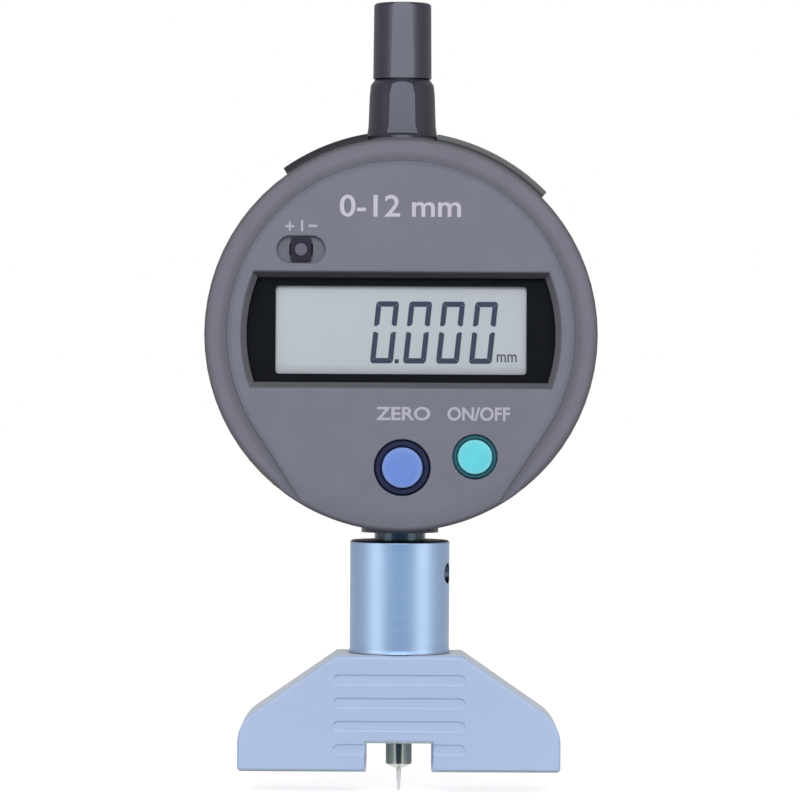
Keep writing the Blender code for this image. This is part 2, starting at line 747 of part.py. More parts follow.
def build_stem_and_bushings():
    """The stem, the bushing in each end of the spindle's path, and the spindle."""
    bore = SPINDLE_RADIUS + RUNNING_GAP
    stem_profile = [
        (STEM_RADIUS, STEM_TOP),
        (STEM_RADIUS, STEM_BOTTOM),
        (STEM_BORE_RADIUS, STEM_BOTTOM),
        (STEM_BORE_RADIUS, STEM_TOP),
    ]
    lower_profile = [
        (STEM_BORE_RADIUS - HOLE_GAP, STEM_BOTTOM + LOWER_BUSHING_LENGTH),
        (STEM_BORE_RADIUS - HOLE_GAP, STEM_BOTTOM),
        (bore, STEM_BOTTOM),
        (bore, STEM_BOTTOM + LOWER_BUSHING_LENGTH),
    ]
    upper_top = CAP_BOTTOM + UPPER_BUSHING_IN_CAP
    upper_bottom = BODY_CENTRE + BODY_INSIDE - UPPER_BUSHING_INSIDE
    upper_profile = [
        (UPPER_BUSHING_RADIUS, upper_top),
        (UPPER_BUSHING_RADIUS, upper_bottom),
        (bore, upper_bottom),
        (bore, upper_top),
    ]
    spindle_profile = [
        (0, SPINDLE_TOP),
        (SPINDLE_RADIUS - SEAT_GAP, SPINDLE_TOP),
        (SPINDLE_RADIUS, SPINDLE_TOP - SEAT_GAP),
        (SPINDLE_RADIUS, SPINDLE_BOTTOM),
        (0, SPINDLE_BOTTOM),
    ]
    return [
        turned("stem", "dark steel", stem_profile, hollow=True),
        turned("lower_bushing", "brass", lower_profile, hollow=True),
        turned("upper_bushing", "brass", upper_profile, hollow=True),
        turned("spindle", "bright steel", spindle_profile),
    ]


def build_cap():
    """The sleeve on top of the body and the cap screwed over it."""
    bushing_bore = UPPER_BUSHING_RADIUS + HOLE_GAP
    sleeve_profile = [
        (SLEEVE_TOP_RADIUS - SLEEVE_CHAMFER, SEAM),
        (SLEEVE_TOP_RADIUS, SEAM - SLEEVE_CHAMFER),
        (SLEEVE_FOOT_RADIUS, SLEEVE_BOTTOM),
        (bushing_bore, SLEEVE_BOTTOM),
        (bushing_bore, SEAM),
    ]
    corner = (CAP_TOP_RADIUS - CAP_ROUNDING, CAP_TOP - CAP_ROUNDING)
    step = CAP_BOTTOM + UPPER_BUSHING_IN_CAP + SEAT_GAP
    cap_profile = [(0, CAP_TOP)]
    cap_profile += arc(CAP_ROUNDING, 0, math.pi / 2, 3, corner)
    cap_profile += [
        (CAP_FOOT_RADIUS, CAP_BOTTOM),
        (bushing_bore, CAP_BOTTOM),
        (bushing_bore, step),
        (CAP_BORE_RADIUS, step),
        (CAP_BORE_RADIUS, CAP_TOP - CAP_WALL),
        (0, CAP_TOP - CAP_WALL),
    ]
    return [
        turned("cap_sleeve", "dark grey plastic", sleeve_profile, segments=MANY_SEGMENTS, hollow=True),
        turned("spindle_cap", "dark grey plastic", cap_profile, segments=MANY_SEGMENTS),
    ]


def build_housing():
    """The round case: wall, front ledge, bosses, pockets and bores."""
    housing = envelope("housing", "grey case", BODY_FRONT, -BODY_REAR)
    cavity = rod(
        "cavity_cutter",
        None,
        BODY_INSIDE,
        -BODY_REAR - CUT_OVERRUN,
        LEDGE_BACK,
        at_body(),
        FRONT,
        BODY_SEGMENTS,
    )
    face_seat = plate(
        "face_seat_cutter",
        None,
        [keyhole(FACE_RADIUS + HOLE_GAP, BODY_RADIUS + CUT_OVERRUN)],
        LEDGE_FRONT,
        FACE_FRONT + CUT_OVERRUN,
        at_body(),
        FRONT,
    )
    opening = plate(
        "ledge_cutter",
        None,
        [keyhole(FACE_RADIUS - FACE_LEDGE, BODY_INSIDE - JOIN_OVERLAP)],
        LEDGE_BACK - CUT_OVERRUN,
        FACE_FRONT,
        at_body(),
        FRONT,
    )
    cut(housing, cavity, face_seat, opening)
    cut_rim_pockets(housing)
    join_bosses(housing)
    cut_bores(housing)
    return housing


def cut_rim_pockets(housing):
    """The seats of the two raised covers, and the openings under them."""
    slack = SEAT_GAP / BODY_RADIUS
    spans = (("data", DATA_COVER_START, DATA_COVER_END), ("battery", BATTERY_COVER_START, BATTERY_COVER_END))
    for name, start, end in spans:
        outline = ring_sector(POCKET_FLOOR, BODY_RADIUS + CUT_OVERRUN, start - slack, end + slack)
        half = COVER_HALF_DEPTH + SEAT_GAP
        cut(housing, plate(name + "_pocket_cutter", None, [outline], -half, half, at_body(), FRONT))
    battery_hole = rod(
        "battery_hole_cutter",
        None,
        BATTERY_RADIUS + BATTERY_CLEARANCE,
        BODY_INSIDE - CUT_OVERRUN,
        BODY_RADIUS + CUT_OVERRUN,
        (0, BATTERY_Y, BODY_CENTRE),
        (0, BATTERY_TURN, 0),
        MANY_SEGMENTS,
    )
    data_hole = block(
        "data_hole_cutter",
        None,
        (-DATA_HALF_WIDTH - SEAT_GAP, -BOARD_BACK, BODY_INSIDE - CUT_OVERRUN),
        (DATA_HALF_WIDTH + SEAT_GAP, -BOARD_BACK + DATA_DEPTH + 2 * SEAT_GAP, BODY_RADIUS + CUT_OVERRUN),
        at_body(),
        (0, DATA_TURN, 0),
    )
    cut(housing, battery_hole, data_hole)


def join_bosses(housing):
    """The bosses at the stem, at the cap and at the four rear screws."""
    foot = BODY_CENTRE - BODY_INSIDE
    head = BODY_CENTRE + BODY_INSIDE
    stem_boss = rod("stem_boss", None, BOSS_RADIUS, BOSS_BOTTOM, foot - JOIN_OVERLAP, segments=MANY_SEGMENTS)
    inner_boss = rod("inner_boss", None, INNER_BOSS_RADIUS, foot - 2 * JOIN_OVERLAP, STEM_TOP, segments=MANY_SEGMENTS)
    top_boss = rod(
        "top_boss", None, TOP_BOSS_RADIUS, head + JOIN_OVERLAP, BODY_TOP + TOP_BOSS_RISE, segments=MANY_SEGMENTS
    )
    top_inner_boss = rod(
        "top_inner_boss",
        None,
        INNER_BOSS_RADIUS,
        head - TOP_BOSS_INSIDE,
        head + 2 * JOIN_OVERLAP,
        segments=MANY_SEGMENTS,
    )
    join(housing, stem_boss, inner_boss, top_boss, top_inner_boss)
    low = -BODY_REAR + SEAT_GAP
    for index, turn in enumerate(REAR_SCREW_TURNS):
        place = at_body(REAR_SCREW_CIRCLE * math.sin(turn), REAR_SCREW_CIRCLE * math.cos(turn))
        join(housing, rod(f"rear_boss_{index + 1}", None, REAR_BOSS_RADIUS, low, low + REAR_BOSS_LENGTH, place, FRONT))


def cut_bores(housing):
    """The bores for stem, bushing and rear screws, and the gasket's groove."""
    stem_bore = rod(
        "stem_bore_cutter", None, STEM_RADIUS + HOLE_GAP, BOSS_BOTTOM - CUT_OVERRUN, STEM_TOP + CUT_OVERRUN
    )
    bushing_bore = rod(
        "bushing_bore_cutter",
        None,
        UPPER_BUSHING_RADIUS + HOLE_GAP,
        BODY_CENTRE + BODY_INSIDE - 2 * CUT_OVERRUN,
        BODY_TOP + CUT_OVERRUN,
    )
    groove_half = GASKET_WIDTH / 2 + HOLE_GAP
    groove_floor = -BODY_REAR + GASKET_DEPTH + HOLE_GAP
    groove_profile = [
        (GASKET_MID_RADIUS + groove_half, groove_floor),
        (GASKET_MID_RADIUS + groove_half, -BODY_REAR - CUT_OVERRUN),
        (GASKET_MID_RADIUS - groove_half, -BODY_REAR - CUT_OVERRUN),
        (GASKET_MID_RADIUS - groove_half, groove_floor),
    ]
    groove = turned("gasket_groove_cutter", None, groove_profile, at_body(), FRONT, BODY_SEGMENTS, True)
    cut(housing, stem_bore, bushing_bore, groove)
    low = -BODY_REAR - CUT_OVERRUN
    high = rear_screw_seat() + REAR_SCREW_LENGTH + SEAT_GAP
    for index, turn in enumerate(REAR_SCREW_TURNS):
        place = at_body(REAR_SCREW_CIRCLE * math.sin(turn), REAR_SCREW_CIRCLE * math.cos(turn))
        hole = rod(f"rear_hole_{index + 1}", None, REAR_SCREW_RADIUS + HOLE_GAP, low, high, place, FRONT, FEW_SEGMENTS)
        cut(housing, hole)


def rear_screw_seat():
    """The level under a rear screw's head, as a distance in front of the axis."""
    return REAR_COVER_OUTSIDE + SEAT_GAP + REAR_SCREW_HEAD_HEIGHT


def build_front_panel():
    """The raised face panel with its window, recesses and holes."""
    outline = keyhole(FACE_RADIUS, BODY_RADIUS + CUT_OVERRUN)
    panel = plate("front_panel", "grey case", [outline], FACE_BACK, FACE_FRONT, at_body(), FRONT)
    combine(panel, envelope("face_envelope", None, FACE_FRONT, FACE_BACK - CUT_OVERRUN), "INTERSECT")
    back = FACE_BACK - CUT_OVERRUN
    beyond = FACE_FRONT + CUT_OVERRUN
    window = plate("window_cutter", None, [window_outline(HOLE_GAP)], back, beyond, at_body(), FRONT)
    flare = WINDOW_BEVEL * (beyond - LENS_FRONT) / WINDOW_DEPTH
    bevel = loft(
        "window_bevel_cutter",
        (window_outline(HOLE_GAP), LENS_FRONT),
        (window_outline(HOLE_GAP + flare), beyond),
        at_body(),
        FRONT,
    )
    slide_place = at_body(SLIDE_X, SLIDE_RISE)
    recess = plate(
        "slide_recess_cutter",
        None,
        [stadium(SLIDE_RECESS_LENGTH, SLIDE_RECESS_HEIGHT)],
        FACE_FRONT - SLIDE_RECESS_DEPTH,
        beyond,
        slide_place,
        FRONT,
    )
    slot_half_length = SLIDE_NECK_WIDTH / 2 + SLIDE_TRAVEL + SEAT_GAP
    slot_half_height = SLIDE_NECK_WIDTH / 2 + SEAT_GAP
    slot = block(
        "slide_slot_cutter",
        None,
        (-slot_half_length, -slot_half_height, back),
        (slot_half_length, slot_half_height, FACE_FRONT),
        slide_place,
        FRONT,
    )
    cut(panel, window, bevel, recess, slot)
    for name, place, _, seal_radius in button_places():
        cut(panel, rod(name + "_hole_cutter", None, seal_radius + HOLE_GAP, back, beyond, place, FRONT, MANY_SEGMENTS))
    screw_end = BOARD_BACK + SMALL_SCREW_LENGTH
    for index, (across, rise) in enumerate(board_screw_places()):
        place = at_body(across, rise)
        low = BOARD_FRONT + SEAT_GAP
        join(panel, rod(f"board_boss_{index + 1}", None, BOARD_BOSS_RADIUS, low, FACE_BACK + JOIN_OVERLAP, place, FRONT))
        cut(panel, small_hole(f"board_boss_hole_{index + 1}", low - CUT_OVERRUN, screw_end, place))
    return panel


def board_screw_places():
    """Where the main board is screwed to the front panel's bosses."""
    return [(across * BOARD_RADIUS, rise * BOARD_RADIUS) for across, rise in BOARD_SCREW_SHARES]


def button_places():
    """Name, place, button radius and seal radius of the two buttons."""
    origin, power = [
        at_body(across * FACE_RADIUS, rise * FACE_RADIUS)
        for across, rise in (ORIGIN_BUTTON_SHARES, POWER_BUTTON_SHARES)
    ]
    return (
        ("origin", origin, ORIGIN_BUTTON_RADIUS, ORIGIN_SEAL_RADIUS),
        ("power", power, POWER_BUTTON_RADIUS, POWER_SEAL_RADIUS),
    )


def small_hole(name, low, high, place):
    """A cutter for a small screw's hole, along the line of sight."""
    return rod(name, None, SMALL_SCREW_RADIUS + HOLE_GAP, low, high, place, FRONT, FEW_SEGMENTS)


def screw(name, place, turn, seat, radius, length, head_radius, head_height):
    """A slotted screw whose head stands above its seat, along its own Z."""
    profile = [
        (0, seat + head_height),
        (head_radius, seat + head_height),
        (head_radius, seat),
        (radius, seat),
        (radius, seat - length),
        (0, seat - length),
    ]
    piece = turned(name, "bright steel", profile, place, turn, FEW_SEGMENTS)
    slot = block(
        name + "_slot_cutter",
        None,
        (-head_radius - CUT_OVERRUN, -SCREW_SLOT_WIDTH / 2, seat + head_height - SCREW_SLOT_DEPTH),
        (head_radius + CUT_OVERRUN, SCREW_SLOT_WIDTH / 2, seat + head_height + CUT_OVERRUN),
        place,
        turn,
    )
    cut(piece, slot)
    return piece


def small_screw(name, across, rise, seat, rearward):
    """A small slotted screw whose head faces the rear or the front."""
    turn = (-math.pi / 2, 0, 0) if rearward else FRONT
    level = -seat if rearward else seat
    place = at_body(across, rise)
    return screw(
        name,
        place,
        turn,
        level,
        SMALL_SCREW_RADIUS,
        SMALL_SCREW_LENGTH,
        SMALL_SCREW_HEAD_RADIUS,
        SMALL_SCREW_HEAD_HEIGHT,
    )


def build_display():
    """Window, mask, display glass, its holder and its two contact strips."""
    middle = (WINDOW_TOP + WINDOW_BOTTOM) / 2
    lens = plate("window_lens", "clear window", [window_outline(0)], LENS_BACK, LENS_FRONT, at_body(), FRONT)
    mask_opening = rounded_rectangle(DISPLAY_WIDTH, DISPLAY_HEIGHT, DISPLAY_CORNER, (0, middle))
    mask = plate(
        "display_mask",
        "black plastic",
        [window_outline(MASK_OVERLAP), mask_opening],
        MASK_BACK,
        MASK_FRONT,
        at_body(),
        FRONT,
    )
    half_width, half_height = LCD_WIDTH / 2, LCD_HEIGHT / 2
    glass = block(
        "lcd_panel",
        "display glass",
        (-half_width, middle - half_height, LCD_BACK),
        (half_width, middle + half_height, LCD_FRONT),
        at_body(),
        FRONT,
    )
    inner = (LCD_WIDTH + 2 * SEAT_GAP, LCD_HEIGHT + 2 * SEAT_GAP)
    outer = (inner[0] + 2 * HOLDER_WALL, inner[1] + 2 * HOLDER_WALL)
    corner = DISPLAY_CORNER
    holder = plate(
        "lcd_holder",
        "white plastic",
        [rounded_rectangle(*outer, corner, (0, middle)), rounded_rectangle(*inner, corner, (0, middle))],
        BOARD_FRONT + SEAT_GAP,
        LCD_FRONT,
        at_body(),
        FRONT,
    )
    pieces = [lens, mask, glass, holder]
    for name, side in (("top", 1), ("bottom", -1)):
        edge = middle + side * (half_height - SEAT_GAP)
        far = edge - side * STRIP_THICKNESS
        strip = block(
            "lcd_contact_strip_" + name,
            "grey elastomer",
            (STRIP_END_ROOM - half_width, min(edge, far), BOARD_FRONT + SEAT_GAP),
            (half_width - STRIP_END_ROOM, max(edge, far), LCD_BACK - SEAT_GAP),
            at_body(),
            FRONT,
        )
        pieces.append(strip)
    return pieces


def build_button(name, place, radius, seal_radius, finishes):
    """A button, the rubber ring round it and the switch behind it."""
    top = FACE_FRONT + BUTTON_PROUD
    flange_front = FACE_BACK - BUTTON_FLANGE_SETBACK
    flange_back = flange_front - BUTTON_FLANGE_THICKNESS
    stem_end = top - BUTTON_LENGTH
    flange_radius = radius + BUTTON_FLANGE_EXTRA
    profile = [
        (0, top),
        (radius - SEAT_GAP, top),
        (radius, top - SEAT_GAP),
        (radius, flange_front),
        (flange_radius, flange_front),
        (flange_radius, flange_back),
        (BUTTON_STEM_RADIUS, flange_back),
        (BUTTON_STEM_RADIUS, stem_end),
        (0, stem_end),
    ]
    button = turned(name + "_button", finishes[0], profile, place, FRONT, MANY_SEGMENTS)
    seal_front = FACE_FRONT - SEAL_RECESS
    seal_profile = [
        (seal_radius, seal_front),
        (seal_radius, seal_front - SEAL_THICKNESS),
        (radius + HOLE_GAP, seal_front - SEAL_THICKNESS),
        (radius + HOLE_GAP, seal_front),
    ]
    seal = turned(name + "_button_seal", finishes[1], seal_profile, place, FRONT, MANY_SEGMENTS, True)
    plunger_top = stem_end - BUTTON_TRAVEL - RUNNING_GAP
    half = SWITCH_WIDTH / 2
    body_top = plunger_top - SWITCH_PLUNGER_RISE
    low = (-half, -half, BOARD_FRONT + SEAT_GAP)
    switch = block(name + "_switch", "black plastic", low, (half, half, body_top), place, FRONT)
    plunger = rod(
        name + "_plunger", None, SWITCH_PLUNGER_RADIUS, body_top - JOIN_OVERLAP, plunger_top, place, FRONT, FEW_SEGMENTS
    )
    join(switch, plunger)
    return [button, seal, switch]


def build_slide():
    """The knob of the counting-direction slide, and the switch behind it."""
    place = at_body(SLIDE_X, SLIDE_RISE)
    knob_back = FACE_FRONT - SLIDE_RECESS_DEPTH + SEAT_GAP
    half_width, half_height = SLIDE_KNOB_WIDTH / 2, SLIDE_KNOB_HEIGHT / 2
    knob = block(
        "sign_switch_knob",
        "dark grey plastic",
        (-half_width, -half_height, knob_back),
        (half_width, half_height, knob_back + SLIDE_KNOB_THICKNESS),
        place,
        FRONT,
    )
    body_top = BOARD_FRONT + SEAT_GAP + SLIDE_BODY_THICKNESS
    half_neck = SLIDE_NECK_WIDTH / 2
    neck = block(
        "slide_neck",
        None,
        (-half_neck, -half_neck, body_top + SEAT_GAP),
        (half_neck, half_neck, knob_back + JOIN_OVERLAP),
        place,
        FRONT,
    )
    join(knob, neck)
    body = block(
        "sign_switch_body",
        "black plastic",
        (-SLIDE_BODY_WIDTH / 2, -SLIDE_BODY_HEIGHT / 2, BOARD_FRONT + SEAT_GAP),
        (SLIDE_BODY_WIDTH / 2, SLIDE_BODY_HEIGHT / 2, body_top),
        place,
        FRONT,
    )
    return [knob, body]


def build_main_board():
    """The main board, cut away at the battery, and its three screws."""
    foot_turn = math.acos(BOARD_FOOT_DROP / BOARD_RADIUS)
    outline = arc(BOARD_RADIUS, foot_turn - math.pi, math.pi - foot_turn, BODY_SEGMENTS // 2)
    board = plate("main_board", "green board", [outline], BOARD_BACK, BOARD_FRONT, at_body(), FRONT)
    half = holder_radius() + SEAT_GAP
    battery_room = block(
        "battery_room_cutter",
        None,
        (-half, -half, holder_floor() - SEAT_GAP),
        (half, half, BODY_RADIUS),
        (0, BATTERY_Y, BODY_CENTRE),
        (0, BATTERY_TURN, 0),
    )
    cut(board, battery_room)
    pieces = [board]
    for index, (across, rise) in enumerate(board_screw_places()):
        low, high = BOARD_BACK - CUT_OVERRUN, BOARD_FRONT + CUT_OVERRUN
        cut(board, small_hole(f"board_hole_{index + 1}", low, high, at_body(across, rise)))
        pieces.append(small_screw(f"board_screw_{index + 1}", across, rise, BOARD_BACK - SEAT_GAP, True))
    return pieces


def scale_front():
    """The front of the scale strip, as a distance in front of the axis."""
    return -(HUB_REAR + SEAT_GAP)


def detector_front():
    """The front of the detector board, as a distance in front of the axis."""
    return scale_front() - SCALE_THICKNESS - DETECTOR_GAP


def detector_screw_places():
    """Where the detector board is screwed to the rear cover's bosses."""
    across = DETECTOR_LEFT + DETECTOR_SCREW_INSET
    return ((across, DETECTOR_TOP - DETECTOR_SCREW_INSET), (across, DETECTOR_BOTTOM + DETECTOR_SCREW_INSET))


def guide_plate_span():
    """The lowest and highest level of the guide plate, from the body's centre."""
    low = -GUIDE_PIN_DROP - GUIDE_PIN_RADIUS - GUIDE_SLOT_ROOM - GUIDE_PLATE_MARGIN
    high = -GUIDE_PIN_DROP + SPINDLE_TRAVEL + GUIDE_PIN_RADIUS + GUIDE_SLOT_ROOM + GUIDE_PLATE_MARGIN
    return low, high


def guide_screw_places():
    """Where the guide plate is screwed to the rear cover's bosses."""
    low, high = guide_plate_span()
    across = GUIDE_PLATE_X + GUIDE_PLATE_THICKNESS / 2 + GUIDE_FLANGE_REACH / 2
    return ((across, high - GUIDE_PLATE_MARGIN), (across, low + GUIDE_PLATE_MARGIN))


def build_rear_cover():
    """The flat rear cover with its inner bosses, its gasket and its four screws."""
    rounding = REAR_COVER_THICKNESS / 4
    profile = [
        (0, REAR_COVER_INSIDE),
        (BODY_RADIUS, REAR_COVER_INSIDE),
        (BODY_RADIUS, REAR_COVER_OUTSIDE + rounding),
        (BODY_RADIUS - rounding, REAR_COVER_OUTSIDE),
        (0, REAR_COVER_OUTSIDE),
    ]
    cover = turned("rear_cover", "dark grey plastic", profile, at_body(), FRONT, BODY_SEGMENTS)
    root = REAR_COVER_INSIDE - JOIN_OVERLAP
    detector_seat = detector_front() - DETECTOR_THICKNESS - SEAT_GAP
    guide_seat = -GUIDE_PLATE_REAR - SEAT_GAP
    seats = [(place, detector_seat) for place in detector_screw_places()]
    seats += [(place, guide_seat) for place in guide_screw_places()]
    for index, ((across, rise), seat) in enumerate(seats):
        place = at_body(across, rise)
        join(cover, rod(f"inner_boss_{index + 1}", None, BOARD_BOSS_RADIUS, root, seat, place, FRONT))
        cut(cover, small_hole(f"inner_boss_hole_{index + 1}", REAR_COVER_INSIDE, seat + CUT_OVERRUN, place))
    anchor_place = at_body(SPRING_X, -SPRING_ANCHOR_DROP)
    anchor = rod("spring_anchor", None, SPRING_ANCHOR_RADIUS, root, SPRING_ANCHOR_TIP, anchor_place, FRONT, FEW_SEGMENTS)
    join(cover, anchor)
    pieces = [cover]
    seat = rear_screw_seat()
    for index, turn in enumerate(REAR_SCREW_TURNS):
        place = at_body(REAR_SCREW_CIRCLE * math.sin(turn), REAR_SCREW_CIRCLE * math.cos(turn))
        low = REAR_COVER_OUTSIDE - CUT_OVERRUN
        head_room = REAR_SCREW_HEAD_RADIUS + HOLE_GAP
        sink = rod(f"rear_sink_{index + 1}", None, head_room, low, seat + HOLE_GAP, place, FRONT)
        hole_radius = REAR_SCREW_RADIUS + HOLE_GAP
        top = REAR_COVER_INSIDE + CUT_OVERRUN
        cut(cover, sink, rod(f"cover_hole_{index + 1}", None, hole_radius, low, top, place, FRONT, FEW_SEGMENTS))
        pieces.append(
            screw(
                f"rear_screw_{index + 1}",
                place,
                (-math.pi / 2, 0, 0),
                -seat,
                REAR_SCREW_RADIUS,
                REAR_SCREW_LENGTH,
                REAR_SCREW_HEAD_RADIUS,
                REAR_SCREW_HEAD_HEIGHT,
            )
        )
    outer, inner = GASKET_MID_RADIUS + GASKET_WIDTH / 2, GASKET_MID_RADIUS - GASKET_WIDTH / 2
    front = -BODY_REAR + GASKET_DEPTH
    gasket_profile = [(outer, front), (outer, -BODY_REAR), (inner, -BODY_REAR), (inner, front)]
    pieces.append(
        turned("rear_gasket", "black rubber", gasket_profile, at_body(), FRONT, BODY_SEGMENTS // 2, True)
    )
    return pieces


def build_scale():
    """The carrier on the spindle with its scale strip, and the detector board."""
    carrier = block(
        "scale_carrier",
        "white plastic",
        (-HUB_HALF_WIDTH, HUB_BOTTOM, -HUB_REAR),
        (HUB_HALF_WIDTH, HUB_TOP, HUB_FRONT),
        at_body(),
        FRONT,
    )
    back_plate = block(
        "carrier_back_plate",
        None,
        (-CARRIER_PLATE_HALF_WIDTH, CARRIER_PLATE_BOTTOM, -HUB_REAR),
        (CARRIER_PLATE_HALF_WIDTH, CARRIER_PLATE_TOP, -HUB_REAR + CARRIER_PLATE_THICKNESS),
        at_body(),
        FRONT,
    )
    join(carrier, back_plate)
    low, high = BODY_CENTRE + HUB_BOTTOM - CUT_OVERRUN, BODY_CENTRE + HUB_TOP + CUT_OVERRUN
    bore = rod("hub_bore_cutter", None, SPINDLE_RADIUS + RUNNING_GAP, low, high)
    pin_hole = rod(
        "pin_hole_cutter",
        None,
        GUIDE_PIN_RADIUS + HOLE_GAP,
        HUB_HALF_WIDTH - GUIDE_PIN_SINK - SEAT_GAP,
        HUB_HALF_WIDTH + CUT_OVERRUN,
        at_body(0, -GUIDE_PIN_DROP),
        RIGHT,
        FEW_SEGMENTS,
    )
    post_hole = rod(
        "post_hole_cutter",
        None,
        SPRING_POST_RADIUS + HOLE_GAP,
        HUB_HALF_WIDTH - GUIDE_PIN_SINK - SEAT_GAP,
        HUB_HALF_WIDTH + CUT_OVERRUN,
        at_body(0, -SPRING_POST_DROP),
        LEFT,
        FEW_SEGMENTS,
    )
    screw_hole = rod(
        "carrier_screw_cutter",
        None,
        CARRIER_SCREW_RADIUS + HOLE_GAP,
        SPINDLE_RADIUS,
        HUB_HALF_WIDTH + CUT_OVERRUN,
        at_body(0, -CARRIER_SCREW_DROP),
        LEFT,
        FEW_SEGMENTS,
    )
    cut(carrier, bore, pin_hole, post_hole, screw_hole)
    carrier_screw = rod(
        "carrier_screw",
        "dark steel",
        CARRIER_SCREW_RADIUS,
        SPINDLE_RADIUS + SEAT_GAP,
        HUB_HALF_WIDTH,
        at_body(0, -CARRIER_SCREW_DROP),
        LEFT,
        FEW_SEGMENTS,
    )
    strip = block(
        "scale_strip",
        "scale board",
        (-CARRIER_PLATE_HALF_WIDTH + SCALE_MARGIN, CARRIER_PLATE_BOTTOM + SCALE_MARGIN, scale_front() - SCALE_THICKNESS),
        (CARRIER_PLATE_HALF_WIDTH - SCALE_MARGIN, CARRIER_PLATE_TOP - SCALE_MARGIN, scale_front()),
        at_body(),
        FRONT,
    )
    detector = block(
        "detector_board",
        "green board",
        (DETECTOR_LEFT, DETECTOR_BOTTOM, detector_front() - DETECTOR_THICKNESS),
        (DETECTOR_RIGHT, DETECTOR_TOP, detector_front()),
        at_body(),
        FRONT,
    )
    pieces = [carrier, carrier_screw, strip, detector]
    for index, (across, rise) in enumerate(detector_screw_places()):
        low, high = detector_front() - DETECTOR_THICKNESS - CUT_OVERRUN, detector_front() + CUT_OVERRUN
        cut(detector, small_hole(f"detector_hole_{index + 1}", low, high, at_body(across, rise)))
        pieces.append(small_screw(f"detector_screw_{index + 1}", across, rise, detector_front() + SEAT_GAP, False))
    return pieces


def build_guide():
    """The anti-rotation pin, the slotted plate it runs in, and the plate's screws."""
    pin_start = HUB_HALF_WIDTH - GUIDE_PIN_SINK
    pin = rod(
        "guide_pin",
        "bright steel",
        GUIDE_PIN_RADIUS,
        pin_start,
        pin_start + GUIDE_PIN_LENGTH,
        at_body(0, -GUIDE_PIN_DROP),
        RIGHT,
        FEW_SEGMENTS,
    )
    low, high = guide_plate_span()
    web_right = GUIDE_PLATE_X + GUIDE_PLATE_THICKNESS
    web = block(
        "guide_plate",
        "brass",
        (GUIDE_PLATE_X, low, -GUIDE_PLATE_REAR),
        (web_right, high, GUIDE_PLATE_HALF_DEPTH),
        at_body(),
        FRONT,
    )
    flange = block(
        "guide_flange",
        None,
        (web_right - JOIN_OVERLAP, low, -GUIDE_PLATE_REAR),
        (web_right + GUIDE_FLANGE_REACH, high, -GUIDE_PLATE_REAR + GUIDE_PLATE_THICKNESS),
        at_body(),
        FRONT,
    )
    join(web, flange)
    slot_half = GUIDE_PIN_RADIUS + RUNNING_GAP
    slot = block(
        "guide_slot_cutter",
        None,
        (GUIDE_PLATE_X - CUT_OVERRUN, low + GUIDE_PLATE_MARGIN, -slot_half),
        (web_right + CUT_OVERRUN, high - GUIDE_PLATE_MARGIN, slot_half),
        at_body(),
        FRONT,
    )
    cut(web, slot)
    pieces = [pin, web]
    seat = -GUIDE_PLATE_REAR + GUIDE_PLATE_THICKNESS
    for index, (across, rise) in enumerate(guide_screw_places()):
        hole_low, hole_high = -GUIDE_PLATE_REAR - CUT_OVERRUN, seat + CUT_OVERRUN
        cut(web, small_hole(f"guide_hole_{index + 1}", hole_low, hole_high, at_body(across, rise)))
        pieces.append(small_screw(f"guide_plate_screw_{index + 1}", across, rise, seat + SEAT_GAP, False))
    return pieces


def build_spring():
    """The post on the carrier and the coil that pulls the spindle down."""
    post = rod(
        "spring_post",
        "bright steel",
        SPRING_POST_RADIUS,
        HUB_HALF_WIDTH - GUIDE_PIN_SINK,
        -SPRING_X + SPRING_POST_TIP,
        at_body(0, -SPRING_POST_DROP),
        LEFT,
        FEW_SEGMENTS,
    )
    room = SEAT_GAP + SPRING_WIRE_RADIUS
    low = -SPRING_ANCHOR_DROP + SPRING_ANCHOR_RADIUS + room
    high = -SPRING_POST_DROP - SPRING_POST_RADIUS - room
    count = SPRING_TURNS * SPRING_POINTS_A_TURN
    curve = bpy.data.curves.new("return_spring", "CURVE")
    curve.dimensions = "3D"
    curve.bevel_depth = SPRING_WIRE_RADIUS
    curve.bevel_resolution = 1
    curve.use_fill_caps = True
    spline = curve.splines.new("POLY")
    spline.points.add(count)
    for step, point in enumerate(spline.points):
        angle = 2 * math.pi * step / SPRING_POINTS_A_TURN
        across = SPRING_COIL_RADIUS * math.cos(angle)
        depth = SPRING_COIL_RADIUS * math.sin(angle)
        point.co = (across, depth, low + (high - low) * step / count, 1)
    coil = add_object("return_spring", curve, "bright steel", at_body(SPRING_X), UP)
    return [post, coil]


def holder_radius():
    """The outer radius of the battery's cup."""
    return BATTERY_RADIUS + BATTERY_CLEARANCE + HOLDER_CUP_WALL


def holder_floor():
    """The underside of the battery's cup, from the body's centre."""
    return BATTERY_IN - 2 * SEAT_GAP - CONTACT_PLATE_THICKNESS - HOLDER_CUP_FLOOR


